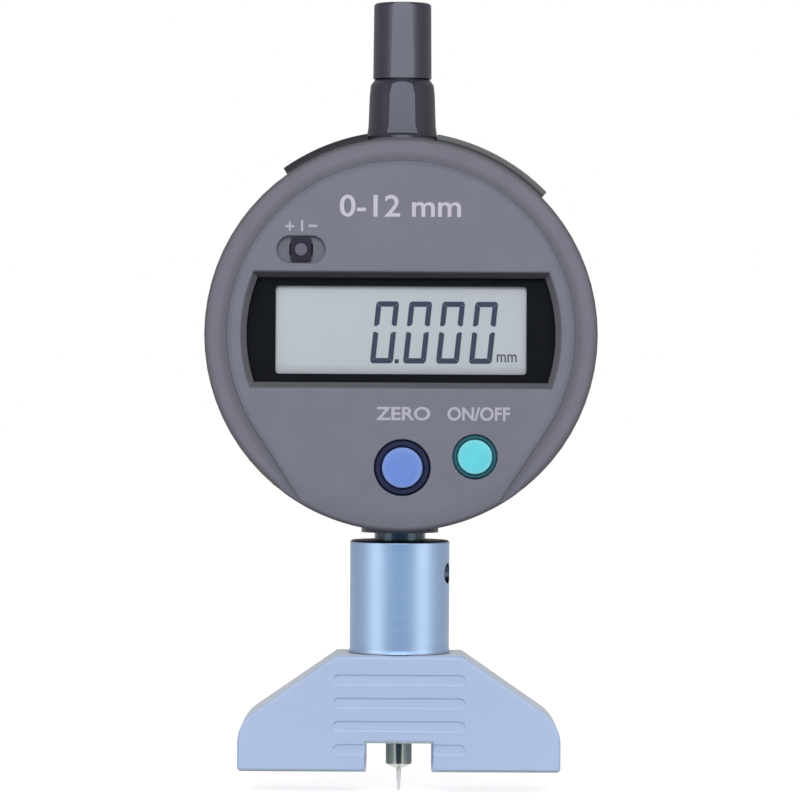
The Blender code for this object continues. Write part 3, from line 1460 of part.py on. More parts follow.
def build_battery():
    """The button cell, its cup and its two contacts, set square to the rim."""
    place = (0, BATTERY_Y, BODY_CENTRE)
    turn = (0, BATTERY_TURN, 0)
    step = BATTERY_THICKNESS / 6
    cell_profile = [
        (0, BATTERY_OUT),
        (BATTERY_RADIUS, BATTERY_OUT),
        (BATTERY_RADIUS, BATTERY_IN + step),
        (BATTERY_RADIUS - step, BATTERY_IN),
        (0, BATTERY_IN),
    ]
    cell = turned("battery", "bright steel", cell_profile, place, turn, MANY_SEGMENTS)
    cup_top = BATTERY_OUT - HOLDER_CUP_SETBACK
    cup_inside = BATTERY_RADIUS + BATTERY_CLEARANCE
    floor = holder_floor()
    cup_profile = [
        (0, floor + HOLDER_CUP_FLOOR),
        (cup_inside, floor + HOLDER_CUP_FLOOR),
        (cup_inside, cup_top),
        (holder_radius(), cup_top),
        (holder_radius(), floor),
        (0, floor),
    ]
    cup = turned("battery_holder", "black plastic", cup_profile, place, turn, MANY_SEGMENTS)
    slot_half = SIDE_CONTACT_HALF_WIDTH + SEAT_GAP
    side_slot = block(
        "side_slot_cutter",
        None,
        (-holder_radius() - CUT_OVERRUN, -slot_half, floor + HOLDER_CUP_FLOOR),
        (-BATTERY_RADIUS, slot_half, cup_top + CUT_OVERRUN),
        place,
        turn,
    )
    cut(cup, side_slot)
    plate_low = floor + HOLDER_CUP_FLOOR + SEAT_GAP
    inner = rod(
        "battery_contact_inner",
        "brass",
        CONTACT_PLATE_RADIUS,
        plate_low,
        plate_low + CONTACT_PLATE_THICKNESS,
        place,
        turn,
    )
    near = BATTERY_RADIUS + SEAT_GAP
    side = block(
        "battery_contact_side",
        "brass",
        (-near - CONTACT_PLATE_THICKNESS, -SIDE_CONTACT_HALF_WIDTH, plate_low),
        (-near, SIDE_CONTACT_HALF_WIDTH, cup_top),
        place,
        turn,
    )
    return [cell, cup, inner, side]


def build_data_connector():
    """The connector under the left cover, with its open mouth."""
    near = -BOARD_BACK + SEAT_GAP
    connector = block(
        "data_connector",
        "black plastic",
        (-DATA_HALF_WIDTH, near, DATA_IN),
        (DATA_HALF_WIDTH, near + DATA_DEPTH, DATA_OUT),
        at_body(),
        (0, DATA_TURN, 0),
    )
    middle = near + DATA_DEPTH / 2
    mouth = block(
        "data_mouth_cutter",
        None,
        (-DATA_MOUTH_HALF_WIDTH, middle - DATA_MOUTH_HALF_HEIGHT, DATA_OUT - DATA_MOUTH_DEPTH),
        (DATA_MOUTH_HALF_WIDTH, middle + DATA_MOUTH_HALF_HEIGHT, DATA_OUT + CUT_OVERRUN),
        at_body(),
        (0, DATA_TURN, 0),
    )
    cut(connector, mouth)
    return connector


def build_rim_covers():
    """The two raised covers that follow the rim, hollowed round the cap's boss."""
    spans = (
        ("data_port_cover", "black rubber", DATA_COVER_START, DATA_COVER_END),
        ("battery_cover", "dark grey plastic", BATTERY_COVER_START, BATTERY_COVER_END),
    )
    pieces = []
    for name, finish, start, end in spans:
        outline = ring_sector(COVER_INSIDE, COVER_OUTSIDE, start, end)
        cover = plate(name, finish, [outline], -COVER_HALF_DEPTH, COVER_HALF_DEPTH, at_body(), FRONT)
        clearance = rod(
            name + "_end_cutter",
            None,
            TOP_BOSS_RADIUS + SEAT_GAP,
            BODY_CENTRE,
            CAP_TOP,
            segments=MANY_SEGMENTS,
        )
        cut(cover, clearance)
        pieces.append(cover)
    return pieces


def main():
    """Build every piece of the gauge."""
    clear_objects()
    make_collections()
    build_base_foot()
    build_base_collar()
    build_clamp_screw()
    build_contact()
    build_stem_and_bushings()
    build_cap()
    build_housing()
    build_front_panel()
    build_display()
    finishes = (("blue button", "dark blue rubber"), ("cyan button", "dark green rubber"))
    for (name, place, radius, seal_radius), pair in zip(button_places(), finishes):
        build_button(name, place, radius, seal_radius, pair)
    build_slide()
    build_main_board()
    build_rear_cover()
    build_scale()
    build_guide()
    build_spring()
    build_battery()
    build_data_connector()
    build_rim_covers()


main()
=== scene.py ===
"""Finished look of the digital depth gauge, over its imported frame.

Everything is in metres, +Z up, with the front towards -Y and the stem's axis on
the Z axis. A piece that stands for a CAD node is modelled where that node is.
"""

import logging
import math
from dataclasses import dataclass
from enum import Enum
from typing import Any, Callable, Iterable, Optional, Sequence

import bmesh
import bpy
from mathutils import Matrix, Quaternion, Vector


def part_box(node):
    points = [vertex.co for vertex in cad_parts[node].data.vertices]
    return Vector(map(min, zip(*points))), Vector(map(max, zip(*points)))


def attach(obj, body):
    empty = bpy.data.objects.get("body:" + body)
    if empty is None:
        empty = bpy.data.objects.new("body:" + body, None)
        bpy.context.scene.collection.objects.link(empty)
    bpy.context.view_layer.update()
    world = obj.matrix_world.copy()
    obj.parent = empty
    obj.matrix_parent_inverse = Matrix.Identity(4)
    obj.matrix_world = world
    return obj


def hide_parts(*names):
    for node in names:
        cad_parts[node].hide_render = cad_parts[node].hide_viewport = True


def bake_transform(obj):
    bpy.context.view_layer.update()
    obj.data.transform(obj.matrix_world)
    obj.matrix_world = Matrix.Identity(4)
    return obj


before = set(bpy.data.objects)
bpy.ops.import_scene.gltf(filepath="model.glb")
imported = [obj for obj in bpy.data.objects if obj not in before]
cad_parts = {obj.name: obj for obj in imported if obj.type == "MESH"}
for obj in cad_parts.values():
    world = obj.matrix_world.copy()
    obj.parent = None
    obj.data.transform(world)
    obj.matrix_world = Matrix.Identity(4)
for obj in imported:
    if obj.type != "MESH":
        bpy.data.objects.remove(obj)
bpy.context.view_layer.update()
LOG = logging.getLogger("depth_gauge")

Point = tuple[float, float]
Colour = tuple[float, float, float]
EdgeTest = Callable[[Vector, Vector], bool]
WHITE = (1.0, 1.0, 1.0)
UP = Matrix.Identity(4)
FRONT = Matrix(((1, 0, 0, 0), (0, 0, -1, 0), (0, 1, 0, 0), (0, 0, 0, 1)))


class Body(Enum):
    """The moving bodies of the gauge."""

    BASE = "base"
    CLAMP = "clamp_screw"
    INDICATOR = "indicator"
    SPINDLE = "spindle"
    ORIGIN = "origin_button"
    POWER = "power_button"
    SIGN = "sign_switch"


class Slot(Enum):
    """The record's material slots, given with the finished pieces but not set on them."""

    GROUND_STEEL = "ground_steel"
    COLLAR_STEEL = "collar_steel"
    STEM_STEEL = "stem_steel"
    DARK_STEEL = "dark_steel"
    BRIGHT_STEEL = "bright_steel"
    CAP_PLASTIC = "cap_plastic"
    CASE_GREY = "case_grey"
    FACE_GREY = "face_grey"
    REAR_PLASTIC = "rear_plastic"
    COVER_PLASTIC = "cover_plastic"
    COVER_RUBBER = "cover_rubber"
    CLEAR_WINDOW = "clear_window"
    BLACK_PLASTIC = "black_plastic"
    DISPLAY_GLASS = "display_glass"
    BLUE_BUTTON = "blue_button"
    CYAN_BUTTON = "cyan_button"
    BLUE_RUBBER = "blue_rubber"
    GREEN_RUBBER = "green_rubber"


class Grain(Enum):
    """The way a metal's tool marks run, as the stretch of a noise along X, Y and Z."""

    ALONG_X = (0.02, 1.0, 1.0)
    RINGS = (0.02, 0.02, 1.0)
    EVEN = (1.0, 1.0, 1.0)


@dataclass(frozen=True)
class Levels:
    """Levels on the axis, distances in front of it, radii, angles and gaps that pieces share."""

    base_face: float = 0.0035
    base_top: float = 0.0215
    collar_top: float = 0.0391
    body_centre: float = 0.0710
    body_radius: float = 0.03025
    face_radius: float = 0.0268
    face_seat_turn: float = math.radians(118)
    face_flank_turn: float = math.radians(123)
    face_front: float = 0.0117
    face_back: float = 0.0099
    board_front: float = 0.0054
    lens_front: float = 0.0109
    lcd_front: float = 0.0089
    slit: float = 0.00015
    beyond: float = 0.002
    near: float = 0.00001


AT = Levels()


def at_body(across: float = 0.0, rise: float = 0.0) -> Matrix:
    """The place of a shape whose own Z points out of the face, set out from the body's centre."""
    return Matrix.Translation((across, 0, AT.body_centre + rise)) @ FRONT


def arc(
    radius: float, start: float, end: float, steps: int, centre: Point = (0, 0)
) -> list[Point]:
    """Points on an arc whose angles run clockwise from straight up.

    Args:
        radius: Radius of the arc.
        start: First angle, in radians.
        end: Last angle, in radians.
        steps: Number of steps between them.
        centre: Centre of the arc.

    Returns:
        The points, one more than the steps.
    """
    across, rise = centre
    angles = [start + (end - start) * step / steps for step in range(steps + 1)]
    return [
        (across + radius * math.sin(angle), rise + radius * math.cos(angle)) for angle in angles
    ]


def round_rectangle(
    width: float, height: float, corner: float, centre: Point = (0, 0)
) -> list[Point]:
    """The outline of a rectangle with round corners, clockwise from the top right.

    Args:
        width: Full width.
        height: Full height.
        corner: Radius of the corners.
        centre: Middle of the rectangle.

    Returns:
        The outline's points.
    """
    points = []
    for index, (side, end) in enumerate(((1, 1), (1, -1), (-1, -1), (-1, 1))):
        middle = (centre[0] + side * (width / 2 - corner), centre[1] + end * (height / 2 - corner))
        points += arc(corner, index * math.pi / 2, (index + 1) * math.pi / 2, 8, middle)
    return points


def stadium(length: float, height: float, steps: int, level: float = 0.0) -> list[Point]:
    """The outline of a bar with half-round ends.

    Args:
        length: Full length.
        height: Full height.
        steps: Steps round each end.
        level: Level of its middle.

    Returns:
        The outline's points.
    """
    half = (length - height) / 2
    right = arc(height / 2, 0, math.pi, steps, (half, level))
    return right + arc(height / 2, math.pi, 2 * math.pi, steps, (-half, level))


def rounded(
    profile: Sequence[Point],
    radius: float,
    steps: int = 4,
    least_turn: float = 0.05,
    side_share: float = 0.45,
) -> list[Point]:
    """An open profile with each of its inner corners rounded.

    Args:
        profile: Corner points, from one end to the other.
        radius: Radius wanted; short sides get less.
        steps: Steps round each corner.
        least_turn: Least turn of a corner that is rounded, in radians.
        side_share: Most of a side that one corner may take.

    Returns:
        The profile with arcs in place of its corners.
    """
    points = [profile[0]]
    for before, corner, after in zip(profile, profile[1:], profile[2:]):
        here = Vector(corner)
        back, ahead = Vector(before) - here, Vector(after) - here
        turn = math.pi - back.angle(ahead)
        room = side_share * min(back.length, ahead.length)
        reach = min(radius * math.tan(turn / 2), room)
        if turn < least_turn or reach <= 0:
            points.append(corner)
            continue
        start, end = here + back.normalized() * reach, here + ahead.normalized() * reach
        for step in range(steps + 1):
            share = step / steps
            spot = start.lerp(here, share).lerp(here.lerp(end, share), share)
            points.append((spot.x, spot.y))
    return points + [profile[-1]]


class Shape:
    """A closed shape under way, with its own Z as the direction that it is built along."""

    def __init__(self, place: Matrix = UP) -> None:
        """Starts an empty shape whose own axes stand at place."""
        self.mesh = bmesh.new()
        self.place = place

    @classmethod
    def turned(
        cls, profile: Sequence[Point], steps: int = 96, place: Matrix = UP, hollow: bool = False
    ) -> "Shape":
        """A shape turned about its own Z.

        Args:
            profile: Radius and level of each point down the outer side.
            steps: Steps round the full turn.
            place: Where its own axes stand.
            hollow: True where the profile is a closed loop round a bore.

        Returns:
            The closed shape.
        """
        shape = cls(place)
        points = [shape.mesh.verts.new((radius, 0, level)) for radius, level in profile]
        edges = [shape.mesh.edges.new(pair) for pair in zip(points, points[1:])]
        if hollow:
            edges.append(shape.mesh.edges.new((points[-1], points[0])))
        bmesh.ops.spin(
            shape.mesh,
            geom=points + edges,
            cent=(0, 0, 0),
            axis=(0, 0, 1),
            dvec=(0, 0, 0),
            angle=2 * math.pi,
            steps=steps,
            use_merge=True,
            use_duplicate=False,
        )
        return shape.closed()

    @classmethod
    def rod(
        cls, radius: float, low: float, high: float, steps: int = 96, place: Matrix = UP
    ) -> "Shape":
        """A round rod between two levels of its own Z.

        Args:
            radius: Its radius.
            low: Lower level.
            high: Upper level.
            steps: Steps round the full turn.
            place: Where its own axes stand.

        Returns:
            The closed shape.
        """
        return cls.turned([(0, high), (radius, high), (radius, low), (0, low)], steps, place)

    @classmethod
    def plate(
        cls, outline: Sequence[Point], low: float, high: float, place: Matrix = UP
    ) -> "Shape":
        """A flat outline raised from one level of its own Z to another.

        Args:
            outline: The outline's points, in order.
            low: Lower level.
            high: Upper level.
            place: Where its own axes stand.

        Returns:
            The closed shape.
        """
        shape = cls(place)
        corners = [shape.mesh.verts.new((across, along, low)) for across, along in outline]
        floor = shape.mesh.faces.new(corners)
        grown = bmesh.ops.extrude_face_region(shape.mesh, geom=[floor])
        raised = [item for item in grown["geom"] if isinstance(item, bmesh.types.BMVert)]
        bmesh.ops.translate(shape.mesh, verts=raised, vec=(0, 0, high - low))
        return shape.closed()

    @classmethod
    def flared(
        cls, outlines: Sequence[Sequence[Point]], levels: Sequence[float], place: Matrix = UP
    ) -> "Shape":
        """A shape whose outline changes from level to level.

        Args:
            outlines: One outline for each level, with equal numbers of points.
            levels: The levels, in order.
            place: Where its own axes stand.

        Returns:
            The closed shape.
        """
        shape = cls(place)
        rings = []
        for outline, level in zip(outlines, levels):
            points = [shape.mesh.verts.new((across, along, level)) for across, along in outline]
            pairs = zip(points, points[1:] + points[:1])
            rings.append([shape.mesh.edges.new(pair) for pair in pairs])
        for lower, upper in zip(rings, rings[1:]):
            bmesh.ops.bridge_loops(shape.mesh, edges=lower + upper)
        for ring in (rings[0], rings[-1]):
            bmesh.ops.contextual_create(shape.mesh, geom=ring)
        return shape.closed()

    @classmethod
    def block(cls, low: Sequence[float], high: Sequence[float], place: Matrix = UP) -> "Shape":
        """A rectangular block between two corners of its own axes."""
        outline = [(low[0], low[1]), (high[0], low[1]), (high[0], high[1]), (low[0], high[1])]
        return cls.plate(outline, low[2], high[2], place)

    @classmethod
    def copied(cls, node: str) -> "Shape":
        """A merged copy of a CAD node's mesh, for a finer finish of its edges."""
        shape = cls()
        shape.mesh.from_mesh(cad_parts[node].data)
        return shape.closed().flattened()

    def closed(self) -> "Shape":
        """Merges doubled points and turns every face outwards."""
        bmesh.ops.remove_doubles(self.mesh, verts=self.mesh.verts, dist=2e-7)
        bmesh.ops.recalc_face_normals(self.mesh, faces=self.mesh.faces)
        return self

    def flattened(self) -> "Shape":
        """Makes one face of the faces that lie in one plane."""
        bmesh.ops.dissolve_limit(
            self.mesh, angle_limit=math.radians(0.5), verts=self.mesh.verts, edges=self.mesh.edges
        )
        return self

    def softened(
        self,
        width: float,
        segments: int = 3,
        angle: float = 35,
        where: Optional[EdgeTest] = None,
    ) -> "Shape":
        """Rounds or chamfers the shape's sharp edges.

        Args:
            width: Reach of the rounding on each side of an edge.
            segments: Steps across it; 1 gives a chamfer.
            angle: Least angle between the faces of an edge, in degrees.
            where: Takes the two ends of an edge and says whether it is rounded.

        Returns:
            The same shape.
        """
        edges = []
        for edge in self.mesh.edges:
            if not edge.is_manifold or edge.calc_face_angle(0) < math.radians(angle):
                continue
            if where is None or where(edge.verts[0].co, edge.verts[1].co):
                edges.append(edge)
        bmesh.ops.bevel(
            self.mesh,
            geom=edges,
            offset=width,
            offset_type="OFFSET",
            segments=segments,
            profile=0.5,
            affect="EDGES",
            clamp_overlap=True,
            loop_slide=False,
            material=-1,
        )
        return self

    def standing(self, name: str) -> bpy.types.Object:
        """An object of the shape, moved to its place in its mesh."""
        data = bpy.data.meshes.new(name)
        self.mesh.transform(self.place)
        self.mesh.to_mesh(data)
        self.mesh.transform(self.place.inverted())
        obj = bpy.data.objects.new(name, data)
        bpy.context.scene.collection.objects.link(obj)
        return obj

    def joined(self, operation: str, *tools: "Shape") -> "Shape":
        """Cuts, joins or intersects the shape with others.

        Args:
            operation: DIFFERENCE, UNION or INTERSECT.
            tools: The other shapes, which are used up.

        Returns:
            The same shape, with its flat faces whole again.
        """
        target = self.standing("under_way")
        for tool in tools:
            other = tool.standing("tool")
            change = target.modifiers.new("change", "BOOLEAN")
            change.operation = operation
            change.solver = "EXACT"
            change.object = other
            graph = bpy.context.evaluated_depsgraph_get()
            data = bpy.data.meshes.new_from_object(target.evaluated_get(graph))
            target.modifiers.clear()
            target.data = data
            bpy.data.objects.remove(other)
            tool.mesh.free()
        self.mesh.clear()
        self.mesh.from_mesh(target.data)
        self.mesh.transform(self.place.inverted())
        bpy.data.objects.remove(target)
        return self.closed().flattened()

    def cut(self, *tools: "Shape") -> "Shape":
        """Takes the tools' volume away."""
        return self.joined("DIFFERENCE", *tools)

    def piece(
        self,
        name: str,
        finish: "Finish",
        body: Body,
        slot: Slot,
        replaces: Iterable[str] = (),
        sharp: float = 38,
    ) -> None:
        """Finishes the shape as a piece of the gauge and sets it on its body.

        Args:
            name: The piece's name.
            finish: Its finish.
            body: The body that it rides on.
            slot: The record's slot for the piece; not used.
            replaces: CAD nodes that it stands for.
            sharp: Angle past which an edge shows as a crease, in degrees.
        """
        obj = self.standing(name)
        self.mesh.free()
        obj.data.polygons.foreach_set("use_smooth", [True] * len(obj.data.polygons))
        obj.data.set_sharp_from_angle(angle=math.radians(sharp))
        obj.modifiers.new("even shading", "WEIGHTED_NORMAL").keep_sharp = True
        obj.data.materials.append(finish.material())
        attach(obj, body.value)
        if replaces:
            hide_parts(*replaces)
        LOG.info("piece %s on %s", obj.name, body.value)


class Value:
    """A shader number on which Python arithmetic adds Math nodes."""

    def __init__(self, tree: "NodeTree", socket: bpy.types.NodeSocket) -> None:
        """Wraps a socket of a node tree."""
        self.tree = tree
        self.socket = socket

    def _with(self, operation: str, *operands: "Value | float") -> "Value":
        """Adds a Math node.

        Args:
            operation: The Math node's operation.
            operands: Its inputs in order.

        Returns:
            The node's result.
        """
        inputs = dict(enumerate(operands))
        return self.tree.node("ShaderNodeMath", {"operation": operation}, inputs)

    def __add__(self, other: "Value | float") -> "Value":
        """Sum."""
        return self._with("ADD", self, other)

    __radd__ = __add__

    def __sub__(self, other: "Value | float") -> "Value":
        """Difference."""
        return self._with("SUBTRACT", self, other)

    def __rsub__(self, other: float) -> "Value":
        """Difference from a number."""
        return self._with("SUBTRACT", other, self)

    def __mul__(self, other: "Value | float") -> "Value":
        """Product."""
        return self._with("MULTIPLY", self, other)

    __rmul__ = __mul__

    def __gt__(self, other: "Value | float") -> "Value":
        """1 where it is above the other, or else 0."""
        return self._with("GREATER_THAN", self, other)

    def ramp(self, low: float, high: float) -> "Value":
        """Share of the way from low to high, kept between 0 and 1."""
        return self.tree.node(
            "ShaderNodeMapRange", {"clamp": True}, {0: self, 1: low, 2: high, 3: 0.0, 4: 1.0}
        )

    def size(self) -> "Value":
        """The number without its sign."""
        return self._with("ABSOLUTE", self)

    def larger(self, other: "Value | float") -> "Value":
        """The larger of two numbers."""
        return self._with("MAXIMUM", self, other)

    def smaller(self, other: "Value | float") -> "Value":
        """The smaller of two numbers."""
        return self._with("MINIMUM", self, other)

    def fraction(self) -> "Value":
        """The number's part past the whole number below it."""
        return self._with("FRACT", self)


class NodeTree:
    """A node tree whose maths is written as Python expressions."""

    def __init__(self, owner: bpy.types.Material | bpy.types.World) -> None:
        """Empties the tree of a material or a world."""
        owner.use_nodes = True
        self.tree = owner.node_tree
        self.tree.nodes.clear()

    def node(
        self,
        kind: str,
        settings: Optional[dict[str, Any]] = None,
        inputs: Optional[dict[int | str, Any]] = None,
        output: int | str = 0,
    ) -> Value:
        """Adds any node.

        Args:
            kind: The node's type.
            settings: Its properties, set first.
            inputs: Values, colours or other nodes' results for its sockets.
            output: The socket of the result.

        Returns:
            The result.
        """
        made = self.tree.nodes.new(kind)
        for key, setting in (settings or {}).items():
            setattr(made, key, setting)
        for key, value in (inputs or {}).items():
            self.feed(made.inputs[key], value)
        return Value(self, made.outputs[output] if made.outputs else None)

    def feed(self, socket: bpy.types.NodeSocket, value: Any) -> None:
        """Links or sets one socket."""
        if isinstance(value, Value):
            self.tree.links.new(value.socket, socket)
        elif socket.type == "RGBA":
            socket.default_value = (*value, 1)
        else:
            socket.default_value = value

    def parts(self, vector: Value) -> list[Value]:
        """The X, Y and Z of a vector."""
        made = self.node("ShaderNodeSeparateXYZ", inputs={0: vector}).socket.node
        return [Value(self, socket) for socket in made.outputs]

    def mix(self, factor: Value | float, first: Any, second: Any) -> Value:
        """A colour between two colours.

        Args:
            factor: Share of the second.
            first: First colour.
            second: Second colour.

        Returns:
            The colour.
        """
        inputs = {0: factor, 6: first, 7: second}
        return self.node("ShaderNodeMix", {"data_type": "RGBA"}, inputs, 2)


class Surface(NodeTree):
    """A material's node tree round one Principled shader."""

    def __init__(self, name: str) -> None:
        """Starts the tree of a material of that name."""
        self.data = bpy.data.materials.new(name)
        super().__init__(self.data)
        self.shader = self.tree.nodes.new("ShaderNodeBsdfPrincipled")
        output = self.tree.nodes.new("ShaderNodeOutputMaterial")
        self.tree.links.new(self.shader.outputs[0], output.inputs["Surface"])

    def normal(self, axis: int) -> Value:
        """The surface normal's share along an axis, from -1 to 1."""
        return self.parts(self.node("ShaderNodeTexCoord", output="Normal"))[axis]

    def facing(self, axis: int) -> Value:
        """How far the surface faces along an axis: 1 square to it, 0 edge on."""
        return self.normal(axis).size()

    def radius(self, centre: Point = (0.0, AT.body_centre)) -> Value:
        """Distance from a centre, seen from the front.

        Args:
            centre: The centre's place along X and Z; the body's own if none is given.

        Returns:
            The distance.
        """
        inputs = {0: self.place(), 1: (1, 0, 1), 2: (-centre[0], 0, -centre[1])}
        flat = self.node("ShaderNodeVectorMath", {"operation": "MULTIPLY_ADD"}, inputs)
        return self.node("ShaderNodeVectorMath", {"operation": "LENGTH"}, {0: flat}, "Value")

    def place(self, stretch: Sequence[float] = (1, 1, 1)) -> Value:
        """Object coordinates, stretched along each axis."""
        spot = self.node("ShaderNodeTexCoord", output="Object")
        return self.node("ShaderNodeMapping", inputs={"Vector": spot, "Scale": tuple(stretch)})

    def noise(
        self, size: float, detail: float = 2.0, stretch: Sequence[float] = (1, 1, 1)
    ) -> Value:
        """Noise whose patches have a given size in metres.

        Args:
            size: Size of a patch.
            detail: Octaves of finer noise.
            stretch: Share of the noise along each axis; a small one draws it out.

        Returns:
            The noise, about 0.5.
        """
        inputs = {"Vector": self.place(stretch), "Scale": 1 / size, "Detail": detail}
        return self.node("ShaderNodeTexNoise", {"noise_dimensions": "3D"}, inputs)

    def varied(
        self, colour: Colour, patches: Value, spread: float, reach: Point = (0.3, 0.7)
    ) -> Value:
        """A colour, darker and lighter over noise patches.

        Args:
            colour: The colour in their middle.
            patches: The noise.
            spread: Share by which it gets darker and lighter.
            reach: The noise's values at the darkest and the lightest.

        Returns:
            The colour.
        """
        darker, lighter = toned(colour, 1 - spread), toned(colour, 1 + spread)
        return self.mix(patches.ramp(*reach), darker, lighter)

    def bump(self, height: Value, depth: float) -> Value:
        """A normal from a height of 0 to 1, whose relief has a depth in metres."""
        inputs = {"Strength": 1.0, "Distance": depth, "Height": height}
        return self.node("ShaderNodeBump", inputs=inputs)

    def dress(self, **sockets: Any) -> bpy.types.Material:
        """Feeds the Principled shader.

        Args:
            sockets: What each socket gets, by the socket's name with _ for a space.

        Returns:
            The material.
        """
        for name, value in sockets.items():
            self.feed(self.shader.inputs[name.replace("_", " ")], value)
        return self.data


def linear(red: float, green: float, blue: float) -> Colour:
    """The linear colour of a screen colour given from 0 to 255."""
    shares = [channel / 255 for channel in (red, green, blue)]
    return tuple(
        share / 12.92 if share <= 0.04045 else ((share + 0.055) / 1.055) ** 2.4 for share in shares
    )


def toned(colour: Colour, factor: float) -> Colour:
    """A colour made lighter or darker."""
    return tuple(channel * factor for channel in colour)


@dataclass(frozen=True)
class FaceLine:
    """The soft shade along the face panel's outline and the rim."""

    inner: Point = (-0.0010, 0.0001)
    outer: Point = (0.0014, 0.0004)
    share: float = 0.55
    rim: Point = (0.0291, 0.0301)
    rim_share: float = 0.7

    def past(self, surface: Surface) -> Value:
        """Distance past the face panel's outline, seen from the front; inside it is below 0."""
        sine, cosine = math.sin(AT.face_flank_turn), math.cos(AT.face_flank_turn)
        across, _, level = surface.parts(surface.place())
        across, rise = across.size(), level - AT.body_centre
        below = (across * cosine - rise * sine) > 0.0
        # Above the flanks only the circle counts, so there the flank is put a metre off.
        flank = across * sine + rise * cosine - below + 1.0
        return surface.radius().smaller(flank) - AT.face_radius

    def shade(self, surface: Surface) -> Value:
        """The shade: strongest in the middle of each line, 0 away from both."""
        past = self.past(surface)
        line = past.ramp(*self.inner) * past.ramp(*self.outer)
        rim = surface.radius().ramp(*self.rim) * self.rim_share
        return (line * self.share).larger(rim)


@dataclass(frozen=True)
class Finish:
    """A surface finish, made into a material once."""

    name: str
    colour: Colour

    def material(self) -> bpy.types.Material:
        """The finish's material, made when it is first asked for."""
        label = "finish_" + self.name
        known = bpy.data.materials.get(label)
        return known if known else self.build(Surface(label))

    def build(self, surface: Surface) -> bpy.types.Material:
        """Sets the surface's nodes."""
        raise NotImplementedError

    def shaded(self, surface: Surface, patches: Value, spread: float) -> Value:
        """The colour, darker and lighter by a spread over noise patches."""
        return surface.varied(self.colour, patches, spread)


@dataclass(frozen=True)
class MouldedPlastic(Finish):
    """Moulded plastic with a spark-eroded grain and soft cloudy tone."""

    roughness: float = 0.5
    gloss: float = 0.4
    grain: float = 0.00022
    depth: float = 0.000012
    cloud: float = 0.005
    spread: float = 0.05
    uneven: float = 0.12
    cloud_share: float = 0.8

    def build(self, surface: Surface) -> bpy.types.Material:
        """Sets the surface's nodes."""
        grain = surface.noise(self.grain, 3)
        cloud = surface.noise(self.cloud, 4)
        patches = cloud * self.cloud_share + grain * (1 - self.cloud_share)
        return surface.dress(
            Base_Color=self.shaded(surface, patches, self.spread),
            Roughness=self.roughness + (grain - 0.5) * self.uneven,
            Normal=surface.bump(grain, self.depth),
            Specular_IOR_Level=self.gloss,
        )


@dataclass(frozen=True)
class PaintedShadePlastic(MouldedPlastic):
    """Glossy plastic with painted light and shade: a dark tone where it turns from the front and
    back, and a paler tone on the flats that face them.
    """

    flat_colour: Colour = (0.2, 0.2, 0.2)
    edge: Point = (0.93, 0.99)
    line_shade_colour: Optional[Colour] = None

    def shaded(self, surface: Surface, patches: Value, spread: float) -> Value:
        """The dark tone of painted shade, and the paler tone of painted light where the surface
        faces front or back.
        """
        # Painted light and shade: the tone follows only how square the surface faces the front or
        # back.
        flat = surface.facing(1).ramp(*self.edge)
        pale = surface.varied(self.flat_colour, patches, spread)
        # Painted shade along the face panel's outline and the rim, laid on the paler tone.
        if self.line_shade_colour:
            pale = surface.mix(FaceLine().shade(surface), pale, self.line_shade_colour)
        return surface.mix(flat, super().shaded(surface, patches, spread), pale)


@dataclass(frozen=True)
class FacePlastic(MouldedPlastic):
    """The face's plastic, with painted shade on slopes and floors below its front, under the
    window's top bevel and near its edge.
    """

    slope_shade_colour: Colour = (0.05, 0.05, 0.06)
    slope_depth: Point = (0.0, 0.00025)
    slope_range: Point = (0.97, 0.84)
    painted_under_tone: Colour = (0.03, 0.03, 0.04)
    under_range: Point = (-0.1, -0.5)
    under_reach: Point = (0.0275, 0.0265)
    edge_range: Point = (0.0264, 0.0300)
    floor_depth: Point = (0.0003, 0.0005)
    edge_share: float = 0.3

    def shaded(self, surface: Surface, patches: Value, spread: float) -> Value:
        """The face's colour, with painted shade by depth, slope and place."""
        depth = surface.parts(surface.place())[1] + AT.face_front
        # Painted shade on the walls and bevels that drop below the front.
        sunk = depth.ramp(*self.slope_depth) * surface.facing(1).ramp(*self.slope_range)
        # Painted shade near the face's edge, along its outline, and on floors sunk below its front.
        edge = surface.radius().ramp(*self.edge_range) * self.edge_share
        edge = edge.larger(FaceLine().shade(surface))
        edge = edge.larger(depth.ramp(*self.floor_depth) * self.edge_share)
        front = surface.mix(edge, super().shaded(surface, patches, spread), self.slope_shade_colour)
        # Painted shade under the window's top bevel, where the surface faces down.
        inside = surface.radius().ramp(*self.under_reach)
        under = surface.normal(2).ramp(*self.under_range) * inside
        slope = surface.mix(under, self.slope_shade_colour, self.painted_under_tone)
        return surface.mix(sunk, front, slope)


@dataclass(frozen=True)
class RimPlastic(MouldedPlastic):
    """Plastic of a cover on the rim, with another tone along its outer strip."""

    outer_colour: Colour = (0.2, 0.2, 0.2)
    change: Point = (0.0306, 0.03085)

    def shaded(self, surface: Surface, patches: Value, spread: float) -> Value:
        """The inner colour, and the outer one past a radius from the body's centre."""
        inner = super().shaded(surface, patches, spread)
        return surface.mix(surface.radius().ramp(*self.change), inner, self.outer_colour)


